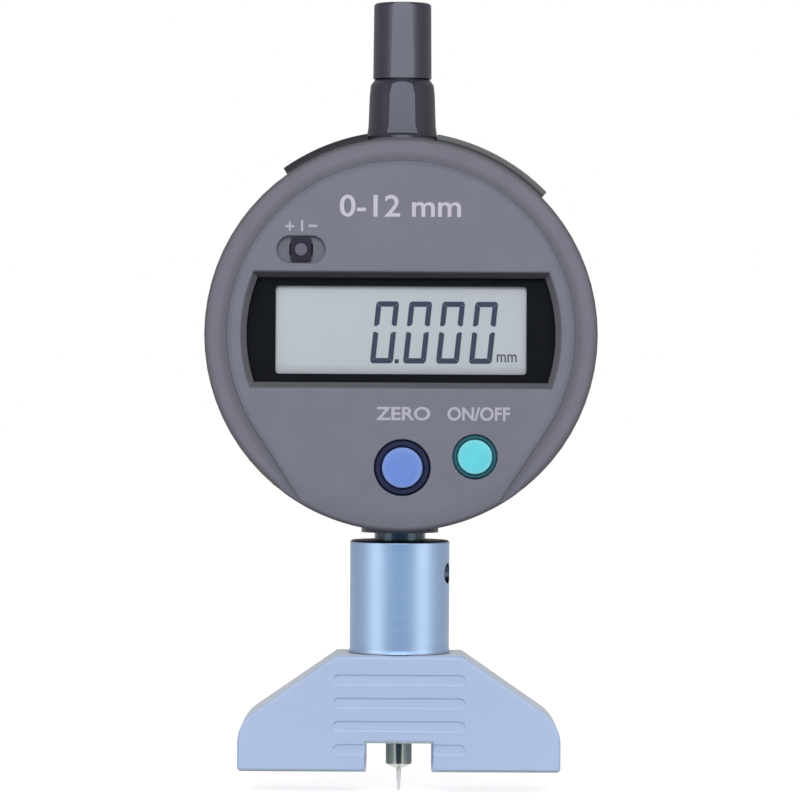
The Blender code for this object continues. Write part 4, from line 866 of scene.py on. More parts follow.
@dataclass(frozen=True)
class ToolMarkedMetal(Finish):
    """Metal with the marks of turning or grinding, a faint tint that drifts, and painted light and
    shade on faces that turn sideways, up or down.
    """

    roughness: float = 0.3
    metallic: float = 1.0
    grain: Grain = Grain.RINGS
    line: float = 0.00006
    depth: float = 0.000004
    spread: float = 0.06
    drift: Colour = (1.0, 1.0, 1.0)
    painted_end_tone: Optional[Colour] = None
    end_range: Point = (0.15, 0.5)
    painted_side_tone: Optional[Colour] = None
    side_range: Point = (0.5, 0.3)
    painted_under_tone: Optional[Colour] = None
    under_range: Point = (-0.3, -0.6)
    band_lines: int = 8
    band_share: float = 0.4
    band_uneven: float = 0.14
    cloud: float = 0.006
    cloud_uneven: float = 0.08
    drift_range: Point = (0.35, 0.7)
    drift_share: float = 0.6

    def build(self, surface: Surface) -> bpy.types.Material:
        """Sets the surface's nodes."""
        lines = surface.noise(self.line, 3, self.grain.value)
        bands = surface.noise(self.line * self.band_lines, 2, self.grain.value)
        cloud = surface.noise(self.cloud, 3)
        tinted = tuple(channel * share for channel, share in zip(self.colour, self.drift))
        patches = lines * (1 - self.band_share) + bands * self.band_share
        base = self.shaded(surface, patches, self.spread)
        colour = surface.mix(cloud.ramp(*self.drift_range) * self.drift_share, base, tinted)
        # Painted light and shade: faces turned from the front, faces turned up and faces turned
        # down each take their own tone.
        zones = (
            (surface.facing(1), self.side_range, self.painted_side_tone),
            (surface.normal(2), self.end_range, self.painted_end_tone),
            (surface.normal(2), self.under_range, self.painted_under_tone),
        )
        for way, reach, tone in zones:
            if tone:
                colour = surface.mix(way.ramp(*reach), colour, tone)
        rough = self.roughness + (bands - 0.5) * self.band_uneven
        return surface.dress(
            Base_Color=colour,
            Roughness=rough + (cloud - 0.5) * self.cloud_uneven,
            Normal=surface.bump(lines, self.depth),
            Metallic=self.metallic,
        )


@dataclass(frozen=True)
class MouldedRubber(Finish):
    """Matt rubber with a fine pitted skin and dusty high spots."""

    roughness: float = 0.72
    grain: float = 0.00016
    depth: float = 0.00001
    gloss: float = 0.35
    uneven: float = 0.15
    dust: float = 0.0025
    dust_range: Point = (0.45, 0.8)
    dust_share: float = 0.35
    dust_tone: float = 1.5

    def build(self, surface: Surface) -> bpy.types.Material:
        """Sets the surface's nodes."""
        pits = surface.noise(self.grain, 4)
        dust = surface.noise(self.dust, 4).ramp(*self.dust_range) * self.dust_share
        return surface.dress(
            Base_Color=surface.mix(dust, self.colour, toned(self.colour, self.dust_tone)),
            Roughness=self.roughness + (pits - 0.5) * self.uneven,
            Normal=surface.bump(pits, self.depth),
            Specular_IOR_Level=self.gloss,
        )


@dataclass(frozen=True)
class ButtonSkin(Finish):
    """Translucent-looking silicone of a push button, with a painted highlight that grows paler
    towards its rim.
    """

    centre: Point = (0.0, 0.0)
    radius: float = 0.003
    pale: Colour = (1.0, 1.0, 1.0)
    rim: float = 0.72
    rim_share: float = 0.5
    cloud: float = 0.0016
    spread: float = 0.05
    grain: float = 0.0002
    depth: float = 0.000006
    roughness: float = 0.46
    uneven: float = 0.1
    gloss: float = 0.4

    def build(self, surface: Surface) -> bpy.types.Material:
        """Sets the surface's nodes."""
        # Painted highlight: the skin grows paler towards the button's rounded rim.
        rim = surface.radius(self.centre).ramp(self.radius * self.rim, self.radius)
        grain = surface.noise(self.grain, 3)
        body = self.shaded(surface, surface.noise(self.cloud, 3), self.spread)
        return surface.dress(
            Base_Color=surface.mix(rim * self.rim_share, body, self.pale),
            Roughness=self.roughness + (grain - 0.5) * self.uneven,
            Normal=surface.bump(grain, self.depth),
            Specular_IOR_Level=self.gloss,
        )


@dataclass(frozen=True)
class ClearWindow(Finish):
    """Clear acrylic that shows a faint sheen over the display."""

    smear: float = 0.006
    spread: float = 0.04
    roughness: Point = (0.05, 0.06)
    alpha: Point = (0.015, 0.02)
    gloss: float = 0.5

    def build(self, surface: Surface) -> bpy.types.Material:
        """Sets the surface's nodes."""
        smear = surface.noise(self.smear, 3, (1, 1, 0.5))
        return surface.dress(
            Base_Color=self.shaded(surface, smear, self.spread),
            Roughness=self.roughness[0] + smear * self.roughness[1],
            Alpha=self.alpha[0] + smear * self.alpha[1],
            Specular_IOR_Level=self.gloss,
        )


@dataclass(frozen=True)
class DisplayGround(Finish):
    """The silvery reflector of the display, cooler to one side, with painted shade along its upper
    and lower edges.
    """

    far: Colour = (0.4, 0.4, 0.45)
    sides: Point = (-0.02, 0.02)
    side_share: float = 0.6
    low_edge: Point = (0.0664, 0.0648)
    low_share: float = 0.85
    high_edge: Point = (0.077, 0.079)
    high_share: float = 0.45
    edge_shade_tone: float = 0.75
    cloud: float = 0.009
    cloud_share: float = 0.5
    fleck: float = 0.00012
    depth: float = 0.000003
    roughness: float = 0.38
    uneven: float = 0.2
    gloss: float = 0.3

    def build(self, surface: Surface) -> bpy.types.Material:
        """Sets the surface's nodes."""
        across, _, height = surface.parts(surface.place())
        cloud = surface.noise(self.cloud, 2)
        fleck = surface.noise(self.fleck, 2)
        side = across.ramp(*self.sides) * self.side_share
        # Painted shade of the window's frame along the display's lower and upper edges.
        low = height.ramp(*self.low_edge) * self.low_share
        high = height.ramp(*self.high_edge) * self.high_share
        base = surface.mix(side + (cloud - 0.5) * self.cloud_share, self.colour, self.far)
        return surface.dress(
            Base_Color=surface.mix(low + high, base, toned(self.far, self.edge_shade_tone)),
            Roughness=self.roughness + (fleck - 0.5) * self.uneven,
            Normal=surface.bump(fleck, self.depth),
            Specular_IOR_Level=self.gloss,
        )


@dataclass(frozen=True)
class PrintedInk(Finish):
    """Pad-printed ink with a slightly uneven cover."""

    roughness: float = 0.5
    cover: float = 0.0003
    spread: float = 0.05
    uneven: float = 0.1
    depth: float = 0.000003
    gloss: float = 0.3

    def build(self, surface: Surface) -> bpy.types.Material:
        """Sets the surface's nodes."""
        cover = surface.noise(self.cover, 3)
        return surface.dress(
            Base_Color=self.shaded(surface, cover, self.spread),
            Roughness=self.roughness + (cover - 0.5) * self.uneven,
            Normal=surface.bump(cover, self.depth),
            Specular_IOR_Level=self.gloss,
        )


@dataclass(frozen=True)
class CircuitBoard(Finish):
    """Solder-masked board with a raised weave and darker copper runs."""

    copper: Colour = (0.3, 0.25, 0.06)
    copper_share: float = 0.8
    pitch: float = 0.0012
    gap_share: float = 0.14
    run_pitches: int = 3
    weave: float = 0.0002
    spread: float = 0.15
    depth: float = 0.00001
    roughness: float = 0.4
    uneven: float = 0.2
    gloss: float = 0.5

    def build(self, surface: Surface) -> bpy.types.Material:
        """Sets the surface's nodes."""
        inputs = {
            "Vector": surface.place(),
            "Color1": (1, 1, 1),
            "Color2": (0.6, 0.6, 0.6),
            "Mortar": (0, 0, 0),
            "Scale": 1.0,
            "Mortar Size": self.pitch * self.gap_share,
            "Brick Width": self.pitch * self.run_pitches,
            "Row Height": self.pitch,
        }
        runs = surface.node("ShaderNodeTexBrick", inputs=inputs, output="Fac") * self.copper_share
        weave = surface.noise(self.weave, 3)
        return surface.dress(
            Base_Color=surface.mix(runs, self.shaded(surface, weave, self.spread), self.copper),
            Roughness=self.roughness + (weave - 0.5) * self.uneven,
            Normal=surface.bump(weave, self.depth),
            Specular_IOR_Level=self.gloss,
        )


@dataclass(frozen=True)
class ScaleBoard(Finish):
    """The scale strip: a board with evenly pitched metal marks across it."""

    mark: Colour = (0.7, 0.6, 0.3)
    pitch: float = 0.0006
    roughness: float = 0.45
    mark_polish: float = 0.15
    mark_metallic: float = 0.8
    weave: float = 0.0002
    spread: float = 0.12
    depth: float = 0.000006

    def build(self, surface: Surface) -> bpy.types.Material:
        """Sets the surface's nodes."""
        height = surface.parts(surface.place())[2]
        marks = (height * (1 / self.pitch)).fraction() > 0.5
        weave = surface.noise(self.weave, 3)
        return surface.dress(
            Base_Color=surface.mix(marks, self.shaded(surface, weave, self.spread), self.mark),
            Roughness=self.roughness - marks * self.mark_polish,
            Metallic=marks * self.mark_metallic,
            Normal=surface.bump(weave, self.depth),
        )


class Finishes:
    """The gauge's finishes, one for each kind of surface."""

    # The face's slope colour is painted shade on its bevels, recesses and edge.
    FACE = FacePlastic(
        "face_grey_plastic_painted_shade", linear(124, 125, 139), 0.52, 0.3, slope_shade_colour=linear(84, 84, 93)
    )
    # The case's dark tone on the rim's rounded edge and sides is painted shade, and so is its line
    # colour along the face.
    CASE = PaintedShadePlastic(
        "case_grey_plastic_painted_shade",
        linear(84, 86, 90),
        0.5,
        0.3,
        flat_colour=linear(121, 121, 133),
        edge=(0.35, 0.95),
        line_shade_colour=linear(84, 84, 93),
    )
    # On the sleeve and the cap, the paler flats front and back are painted light and the dark sides
    # are painted shade.
    SLEEVE = PaintedShadePlastic(
        "sleeve_plastic_painted_light_shade",
        linear(37, 36, 51),
        0.42,
        0.3,
        spread=0.04,
        flat_colour=linear(106, 107, 120),
        edge=(0.95, 0.995),
    )
    CAP = PaintedShadePlastic(
        "cap_plastic_painted_light_shade",
        linear(46, 45, 60),
        0.42,
        0.3,
        spread=0.04,
        flat_colour=linear(114, 115, 127),
        edge=(0.86, 0.99),
    )
    REAR = MouldedPlastic("rear_grey_plastic", linear(96, 96, 104), 0.55, 0.3)
    # On the battery cover, the dark inner colour is painted shade of the gap beside the case; the
    # outer strip is paler.
    COVER = RimPlastic(
        "cover_grey_plastic_painted_shade", linear(60, 60, 66), 0.5, 0.3, outer_colour=linear(112, 114, 112)
    )
    COVER_RUBBER = RimPlastic(
        "cover_black_rubber",
        linear(74, 73, 82),
        0.62,
        0.25,
        outer_colour=linear(44, 43, 49),
        change=(0.0302, 0.0310),
    )
    BLACK = MouldedPlastic("black_plastic", linear(13, 14, 18), 0.5, 0.08, depth=0.000004)
    KNOB = MouldedPlastic("knob_black_plastic", linear(38, 35, 51), 0.5, 0.2, depth=0.000004)
    # The grip's paler grey is a painted highlight on the knob's round grip.
    GRIP_HIGHLIGHT = MouldedPlastic("knob_grip_painted_highlight", linear(102, 100, 115), 0.5, 0.3, depth=0.000004)
    WHITE = MouldedPlastic("white_plastic", linear(215, 215, 210), 0.5, 0.3)
    WINDOW = ClearWindow("clear_acrylic", linear(20, 21, 24))
    LCD = DisplayGround("display_reflector", linear(209, 218, 223), linear(204, 207, 217))
    SEGMENT = PrintedInk("display_segments", linear(66, 70, 92), 0.35)
    FAINT = PrintedInk("display_unit_mark", linear(95, 98, 108), 0.4)
    INK = PrintedInk("pale_printed_ink", linear(208, 203, 220))
    DIM_INK = PrintedInk("thin_printed_ink", linear(190, 188, 204))
    BLUE = ButtonSkin(
        "blue_button_skin", linear(110, 146, 226), (0.0003, 0.0506), 0.0031, linear(150, 172, 228)
    )
    CYAN = ButtonSkin(
        "cyan_button_skin", linear(106, 226, 240), (0.01145, 0.0523), 0.00265, linear(150, 226, 232)
    )
    BLUE_RUBBER = MouldedRubber("blue_seal_rubber", linear(22, 31, 66))
    GREEN_RUBBER = MouldedRubber("green_seal_rubber", linear(50, 108, 124))
    BLACK_RUBBER = MouldedRubber("black_gasket_rubber", linear(25, 25, 27))
    ELASTOMER = MouldedRubber("grey_elastomer", linear(150, 150, 150), 0.6)
    # On the base, the paler tone of the slopes, top and sides is painted light, and the faces
    # turned down take a painted tone for the light from below.
    BASE = ToolMarkedMetal(
        "ground_base_steel",
        linear(185, 203, 235),
        0.5,
        0.1,
        Grain.ALONG_X,
        line=0.00008,
        depth=0.000001,
        spread=0.02,
        drift=(0.98, 1.0, 1.02),
        painted_side_tone=linear(220, 228, 239),
        painted_under_tone=linear(194, 210, 227),
    )
    # On the collar, the dark tone of the top and of faces turned up, and the darker sides, are
    # painted shade.
    COLLAR = ToolMarkedMetal(
        "blued_collar_steel",
        linear(150, 171, 198),
        0.40,
        0.9,
        Grain.RINGS,
        depth=0.0000015,
        spread=0.03,
        drift=(0.97, 1.0, 1.03),
        painted_end_tone=linear(40, 52, 66),
        painted_side_tone=linear(134, 156, 184),
        side_range=(0.85, 0.6),
    )
    STEM = ToolMarkedMetal("stem_steel", linear(52, 62, 68), 0.2)
    DARK_STEEL = ToolMarkedMetal("dark_steel", linear(104, 110, 108), 0.25, depth=0.000001)
    CONTACT = ToolMarkedMetal("contact_steel", linear(198, 203, 196), 0.15, depth=0.000001)
    NEEDLE = ToolMarkedMetal("bright_needle_steel", linear(255, 255, 255), 0.4, 0.0)
    BRIGHT_STEEL = ToolMarkedMetal("bright_steel", linear(190, 192, 196), 0.3)
    BRASS = ToolMarkedMetal("brass", linear(196, 160, 92), 0.32)
    BATTERY = ToolMarkedMetal(
        "battery_steel", linear(200, 200, 202), 0.25, 1.0, Grain.EVEN, line=0.0004
    )
    BOARD = CircuitBoard("main_circuit_board", linear(24, 92, 52))
    SCALE = ScaleBoard("scale_board", linear(30, 80, 60))


def polished(
    node: str,
    finish: Finish,
    body: Body,
    slot: Slot,
    width: float,
    segments: int = 2,
    where: Optional[EdgeTest] = None,
) -> None:
    """Finishes a CAD node in its own shape, with its edges softened.

    Args:
        node: The node's name.
        finish: Its finish.
        body: The body that it rides on.
        slot: The record's slot for the piece; not used.
        width: Reach of the rounding on each side of an edge.
        segments: Steps across it.
        where: Takes the two ends of an edge and says whether it is rounded.
    """
    shape = Shape.copied(node).softened(width, segments, 50, where)
    shape.piece(node + "_finished", finish, body, slot, [node])


def keyhole(circle_radius: float, edge_radius: float, turn: float, steps: int = 96) -> list[Point]:
    """The face's outline: a circle whose straight flanks run out to the edge below.

    Args:
        circle_radius: Radius of the circle.
        edge_radius: Radius that the flanks run out to.
        turn: Angle from straight up at which the flanks leave the circle.
        steps: Steps round the circle.

    Returns:
        The outline's points.
    """
    flank = math.sqrt(edge_radius**2 - circle_radius**2)
    meeting = turn + math.atan2(flank, circle_radius)
    circle = arc(circle_radius, -turn, turn, steps)
    return circle + arc(edge_radius, meeting, 2 * math.pi - meeting, steps // 4)


@dataclass
class Window:
    """Sizes of the display window, from the body's centre."""

    side_radius: float = 0.0236
    top: float = 0.0086
    bottom: float = -0.0072
    bevel: float = 0.0012
    bevel_steps: tuple[Point, ...] = (
        (0.0, 0.0),
        (0.8, 0.72),
        (0.92, 0.85),
        (1.0, 1.0),
        (1.5, 2.2),
    )
    display_width: float = 0.0386
    display_height: float = 0.0135
    display_corner: float = 0.0005

    def outline(self, extra: float = 0.0) -> list[Point]:
        """The window's outline, straight above and below, moved out by extra."""
        radius = self.side_radius + extra
        start = math.acos((self.top + extra) / radius)
        end = math.acos((self.bottom - extra) / radius)
        return arc(radius, start, end, 24) + arc(radius, -end, -start, 24)

    def opening(self) -> Shape:
        """The cutter of its opening, whose bevel turns into the face over a round edge."""
        outlines, levels = [self.outline(AT.slit)], [AT.face_back - AT.beyond]
        for height, reach in self.bevel_steps:
            outlines.append(self.outline(AT.slit + reach * self.bevel))
            levels.append(AT.lens_front + height * (AT.face_front - AT.lens_front))
        return Shape.flared(outlines, levels, at_body())

    @property
    def middle(self) -> float:
        """Level of the display's middle."""
        return (self.top + self.bottom) / 2


@dataclass
class Button:
    """One push button and the rubber ring round it."""

    name: str
    body: Body
    across: float
    drop: float
    radius: float
    seal_radius: float
    skin: Finish
    rubber: Finish
    skin_slot: Slot
    rubber_slot: Slot
    proud: float = 0.0003
    length: float = 0.0039
    edge: float = 0.0005
    crown: tuple[Point, ...] = ((0.0, 0.0), (0.6, 0.00002), (1.0, 0.00008))
    shoulder: float = 0.0001
    flange_extra: float = 0.0009
    flange_setback: float = 0.0004
    flange_thickness: float = 0.0006
    stem_radius: float = 0.0014
    seal_recess: float = 0.0003
    seal_thickness: float = 0.0013
    seal_chamfer: float = 0.0002

    @property
    def place(self) -> Matrix:
        """The place of its axis in the face."""
        return at_body(self.across, -self.drop)

    def build(self) -> None:
        """Builds the button and its ring."""
        top = AT.face_front + self.proud
        flange = AT.face_back - self.flange_setback
        flat = self.radius - self.edge
        crown = [(flat * share, top - drop) for share, drop in self.crown]
        corner = [crown[-1], (self.radius, top - self.shoulder), (self.radius, flange)]
        side = rounded(corner, self.edge, 6)
        foot = [
            (self.radius + self.flange_extra, flange),
            (self.radius + self.flange_extra, flange - self.flange_thickness),
            (self.stem_radius, flange - self.flange_thickness),
            (self.stem_radius, top - self.length),
            (0, top - self.length),
        ]
        button = Shape.turned(crown[:-1] + side + foot, 96, self.place)
        button.piece(self.name, self.skin, self.body, self.skin_slot, [self.name])
        self.seal()

    def seal(self) -> None:
        """Builds the rubber ring."""
        front, inner = AT.face_front - self.seal_recess, self.radius + AT.slit
        outer, chamfer, back = self.seal_radius, self.seal_chamfer, front - self.seal_thickness
        profile = [
            (inner, front - chamfer),
            (inner + chamfer, front),
            (outer - chamfer, front),
            (outer, front - chamfer),
            (outer, back),
            (inner, back),
        ]
        name = self.name + "_seal"
        ring = Shape.turned(profile, 96, self.place, hollow=True)
        ring.piece(name, self.rubber, Body.INDICATOR, self.rubber_slot, [name])


@dataclass
class SignSlide:
    """The little slide that sets the counting direction, in its recess."""

    across: float = -0.0154
    rise: float = 0.0130
    recess_length: float = 0.0075
    recess_height: float = 0.0042
    recess_depth: float = 0.0008
    knob_width: float = 0.0032
    knob_height: float = 0.0036
    knob_corner: float = 0.00045
    knob_back: float = 0.0112
    knob_thickness: float = 0.00034
    knob_front: float = 0.01175
    rounding: float = 0.0001
    grip_radius: float = 0.00095
    grip_flat: float = 0.55
    grip_dish: float = 0.00004
    neck: float = 0.0006
    travel: float = 0.0009

    @property
    def place(self) -> Matrix:
        """The place of the slide's middle in the face."""
        return at_body(self.across, self.rise)

    def recess(self) -> list[Shape]:
        """The cutters of the recess and of the slot for the knob's neck."""
        ends = stadium(self.recess_length, self.recess_height, 24)
        floor, outside = AT.face_front - self.recess_depth, AT.face_front + AT.beyond
        slot = self.neck + self.travel + 2 * AT.slit
        height = self.neck + 2 * AT.slit
        low, high = (-slot, -height, AT.face_back - AT.beyond), (slot, height, AT.face_front)
        return [
            Shape.plate(ends, floor, outside, self.place),
            Shape.block(low, high, self.place),
        ]

    def build(self) -> None:
        """Builds the knob: a square plate with a round grip on it, and the neck behind."""
        shoulder = self.knob_back + self.knob_thickness
        outline = round_rectangle(self.knob_width, self.knob_height, self.knob_corner)
        knob = Shape.plate(outline, self.knob_back, shoulder, self.place)
        knob.softened(self.rounding, 3, 60)
        low = (-self.neck, -self.neck, -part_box("sign_switch_knob")[1].y)
        high = (self.neck, self.neck, shoulder - self.rounding)
        knob.joined("UNION", Shape.block(low, high, self.place))
        knob.piece(
            "sign_switch_knob_plate",
            Finishes.KNOB,
            Body.SIGN,
            Slot.CAP_PLASTIC,
            ["sign_switch_knob"],
        )
        radius, front = self.grip_radius, self.knob_front
        corner = [(radius * self.grip_flat, front), (radius, front), (radius, shoulder)]
        profile = [(0, front - self.grip_dish)] + rounded(corner, self.rounding)
        grip = Shape.turned(profile + [(0, shoulder)], 48, self.place)
        # The grip takes a paler finish as a painted highlight.
        grip.piece("sign_switch_grip", Finishes.GRIP_HIGHLIGHT, Body.SIGN, Slot.CAP_PLASTIC)


@dataclass(frozen=True)
class Word:
    """A printed word or sign, fitted to a height and, where it has one, to a width."""

    name: str
    text: str
    centre: Point
    height: float
    finish: Finish
    width: float = 0.0
    weight: float = 0.012
    back: float = AT.face_front
    slot: Slot = Slot.FACE_GREY
    thickness: float = 0.00002
    sunk: float = 0.25

    def build(self) -> None:
        """Prints the word."""
        shape = Shape(at_body(*self.centre))
        shape.mesh.from_mesh(self.letters())
        spots = [vert.co.copy() for vert in shape.mesh.verts]
        low = Vector([min(spot[axis] for spot in spots) for axis in range(3)])
        high = Vector([max(spot[axis] for spot in spots) for axis in range(3)])
        tall = self.height / (high.y - low.y)
        wide = self.width / (high.x - low.x) if self.width else tall
        for vert in shape.mesh.verts:
            share = (vert.co.z - low.z) / (high.z - low.z)
            vert.co.x = (vert.co.x - (low.x + high.x) / 2) * wide
            vert.co.y = (vert.co.y - (low.y + high.y) / 2) * tall
            vert.co.z = self.back + (share - self.sunk) * self.thickness
        shape.closed().piece(self.name, self.finish, Body.INDICATOR, self.slot)

    def letters(self) -> bpy.types.Mesh:
        """The word's raised letters, before they are fitted."""
        curve = bpy.data.curves.new(self.name, "FONT")
        curve.body = self.text
        curve.align_x = "CENTER"
        curve.offset = self.weight
        curve.resolution_u = 6
        curve.extrude = 0.01
        sketch = bpy.data.objects.new(self.name + "_sketch", curve)
        bpy.context.scene.collection.objects.link(sketch)
        graph = bpy.context.evaluated_depsgraph_get()
        mesh = bpy.data.meshes.new_from_object(sketch.evaluated_get(graph))
        bpy.data.objects.remove(sketch)
        return mesh


@dataclass
class Print:
    """The range, the button words and the signs on the face."""

    word_height: float = 0.0021
    word_level: float = -0.0121
    word_weight: float = 0.024

    def build(self) -> None:
        """Prints each word."""
        ink, dim = Finishes.INK, Finishes.DIM_INK
        height, level, weight = self.word_height, self.word_level, self.word_weight
        words = (
            Word("print_range", "0-12 mm", (-0.0002, 0.01975), 0.0034, ink, 0.0186),
            Word("print_zero", "ZERO", (0.0004, level), height, dim, 0.0083, weight),
            Word("print_on_off", "ON/OFF", (0.0120, level), height, dim, 0.0096, weight),
            Word("print_plus", "+", (-0.01715, 0.01655), 0.0014, dim),
            Word("print_divider", "|", (-0.01526, 0.01665), 0.0017, dim, 0.00032),
            Word("print_minus", "-", (-0.01357, 0.01662), 0.00036, dim, 0.0013),
        )
        for word in words:
            word.build()


@dataclass
class Case:
    """The round case, its face panel, the rim's covers and the rear cover."""

    window: Window
    slide: SignSlide
    buttons: list[Button]
    rounding: float = 0.0009
    seat: float = 0.0005
    rim_rounding: float = 0.00024
    rim_steps: int = 5
    hole_rounding: float = 0.00016
    housing_front: float = 0.01145
    housing_rounding: float = 0.0005
    rim_inside: float = 0.0299
    cover_clearance: float = 0.00558
    cover_clearance_levels: Point = (0.09, 0.12)
    cover_inside: float = 0.0295
    cover_outside: float = 0.03145
    cover_half_depth: float = 0.008
    cover_rounding: float = 0.00035
    rear_back: float = 0.0119
    rear_rounding: float = 0.0003
    screw_rounding: float = 0.00008
    boss_spots: tuple[Point, ...] = ((0.0035, 0.0175), (0.0175, -0.0135), (-0.014, -0.015))
    boss_radius: float = 0.002
    boss_overlap: float = 0.0004
    boss_hole: float = 0.00095
    boss_hole_end: float = 0.007

    def build(self) -> None:
        """Builds the case's pieces in order."""
        self.face()
        self.housing()
        self.covers()
        self.rear()

    def blank(self) -> Shape:
        """The face panel without its openings: a seat in the housing under a raised front."""
        start, edge = AT.face_front - self.rim_rounding, AT.body_radius + AT.beyond
        rim = [(self.seat, level, AT.face_seat_turn) for level in (AT.face_back, start)]
        for step in range(self.rim_steps + 1):
            turn = step * math.pi / 2 / self.rim_steps
            inset = self.rim_rounding * (1 - math.cos(turn))
            level = AT.face_front - self.rim_rounding * (1 - math.sin(turn))
            rim.append((-inset, level, AT.face_flank_turn))
        outlines = [keyhole(AT.face_radius + extra, edge, turn) for extra, _, turn in rim]
        blank = Shape.flared(outlines, [level for _, level, _ in rim], at_body())
        radius, front, back = AT.body_radius, AT.face_front, AT.face_back - AT.beyond
        profile = rounded([(0, front), (radius, front), (radius, back)], self.rounding, 10)
        return blank.joined("INTERSECT", Shape.turned(profile + [(0, back)], 180, at_body()))

    def face(self) -> None:
        """The raised face panel with window, recess, button holes and board bosses."""
        panel = self.blank().cut(self.window.opening(), *self.slide.recess())
        low, high = AT.face_back - AT.beyond, AT.face_front + AT.beyond
        for button in self.buttons:
            panel.cut(Shape.rod(button.seal_radius + AT.slit, low, high, 96, button.place))
        front = AT.face_front - AT.near
        panel.softened(self.hole_rounding, 3, 60, lambda one, other: min(one.z, other.z) > front)
        low, high = AT.board_front + 2 * AT.slit, AT.face_back + self.boss_overlap
        for spot in self.boss_spots:
            panel.joined("UNION", Shape.rod(self.boss_radius, low, high, 32, at_body(*spot)))
            panel.cut(Shape.rod(self.boss_hole, 0, self.boss_hole_end, 32, at_body(*spot)))
        panel.piece("face_panel", Finishes.FACE, Body.INDICATOR, Slot.FACE_GREY, ["front_panel"])

    def housing(self) -> None:
        """The case's shell, with its rim's front edge rounded."""

        def outer(one: Vector, other: Vector) -> bool:
            """Whether an edge is the rim's front one."""
            reach = min(math.hypot(end.x, end.z - AT.body_centre) for end in (one, other))
            return max(one.y, other.y) < AT.near - self.housing_front and reach > self.rim_inside

        shell = Shape.copied("housing").softened(self.housing_rounding, 5, 60, outer)
        shell.piece(
            "case_shell", Finishes.CASE, Body.INDICATOR, Slot.CASE_GREY, ["housing"], sharp=30
        )

    def covers(self) -> None:
        """The two raised covers that follow the rim."""
        spans = (
            ("data_port_cover", Finishes.COVER_RUBBER, Slot.COVER_RUBBER, -35.5, -9.8),
            ("battery_cover", Finishes.COVER, Slot.COVER_PLASTIC, 10.0, 45.3),
        )
        for name, finish, slot, start, end in spans:
            first, last, steps = math.radians(start), math.radians(end), round(end - start)
            outline = arc(self.cover_outside, first, last, steps)
            outline += arc(self.cover_inside, last, first, steps)
            cover = Shape.plate(outline, -self.cover_half_depth, self.cover_half_depth, at_body())
            cover.cut(Shape.rod(self.cover_clearance, *self.cover_clearance_levels))
            cover.softened(self.cover_rounding, 4, 40)
            cover.piece(name + "_finished", finish, Body.INDICATOR, slot, [name])

    def rear(self) -> None:
        """The rear cover and its four screws."""

        def behind(one: Vector, other: Vector) -> bool:
            """Whether an edge lies in the cover's back."""
            return min(one.y, other.y) > self.rear_back

        body, width = Body.INDICATOR, self.screw_rounding
        polished(
            "rear_cover", Finishes.REAR, body, Slot.REAR_PLASTIC, self.rear_rounding, 4, behind
        )
        for index in range(1, 5):
            polished(f"rear_screw_{index}", Finishes.DARK_STEEL, body, Slot.DARK_STEEL, width)


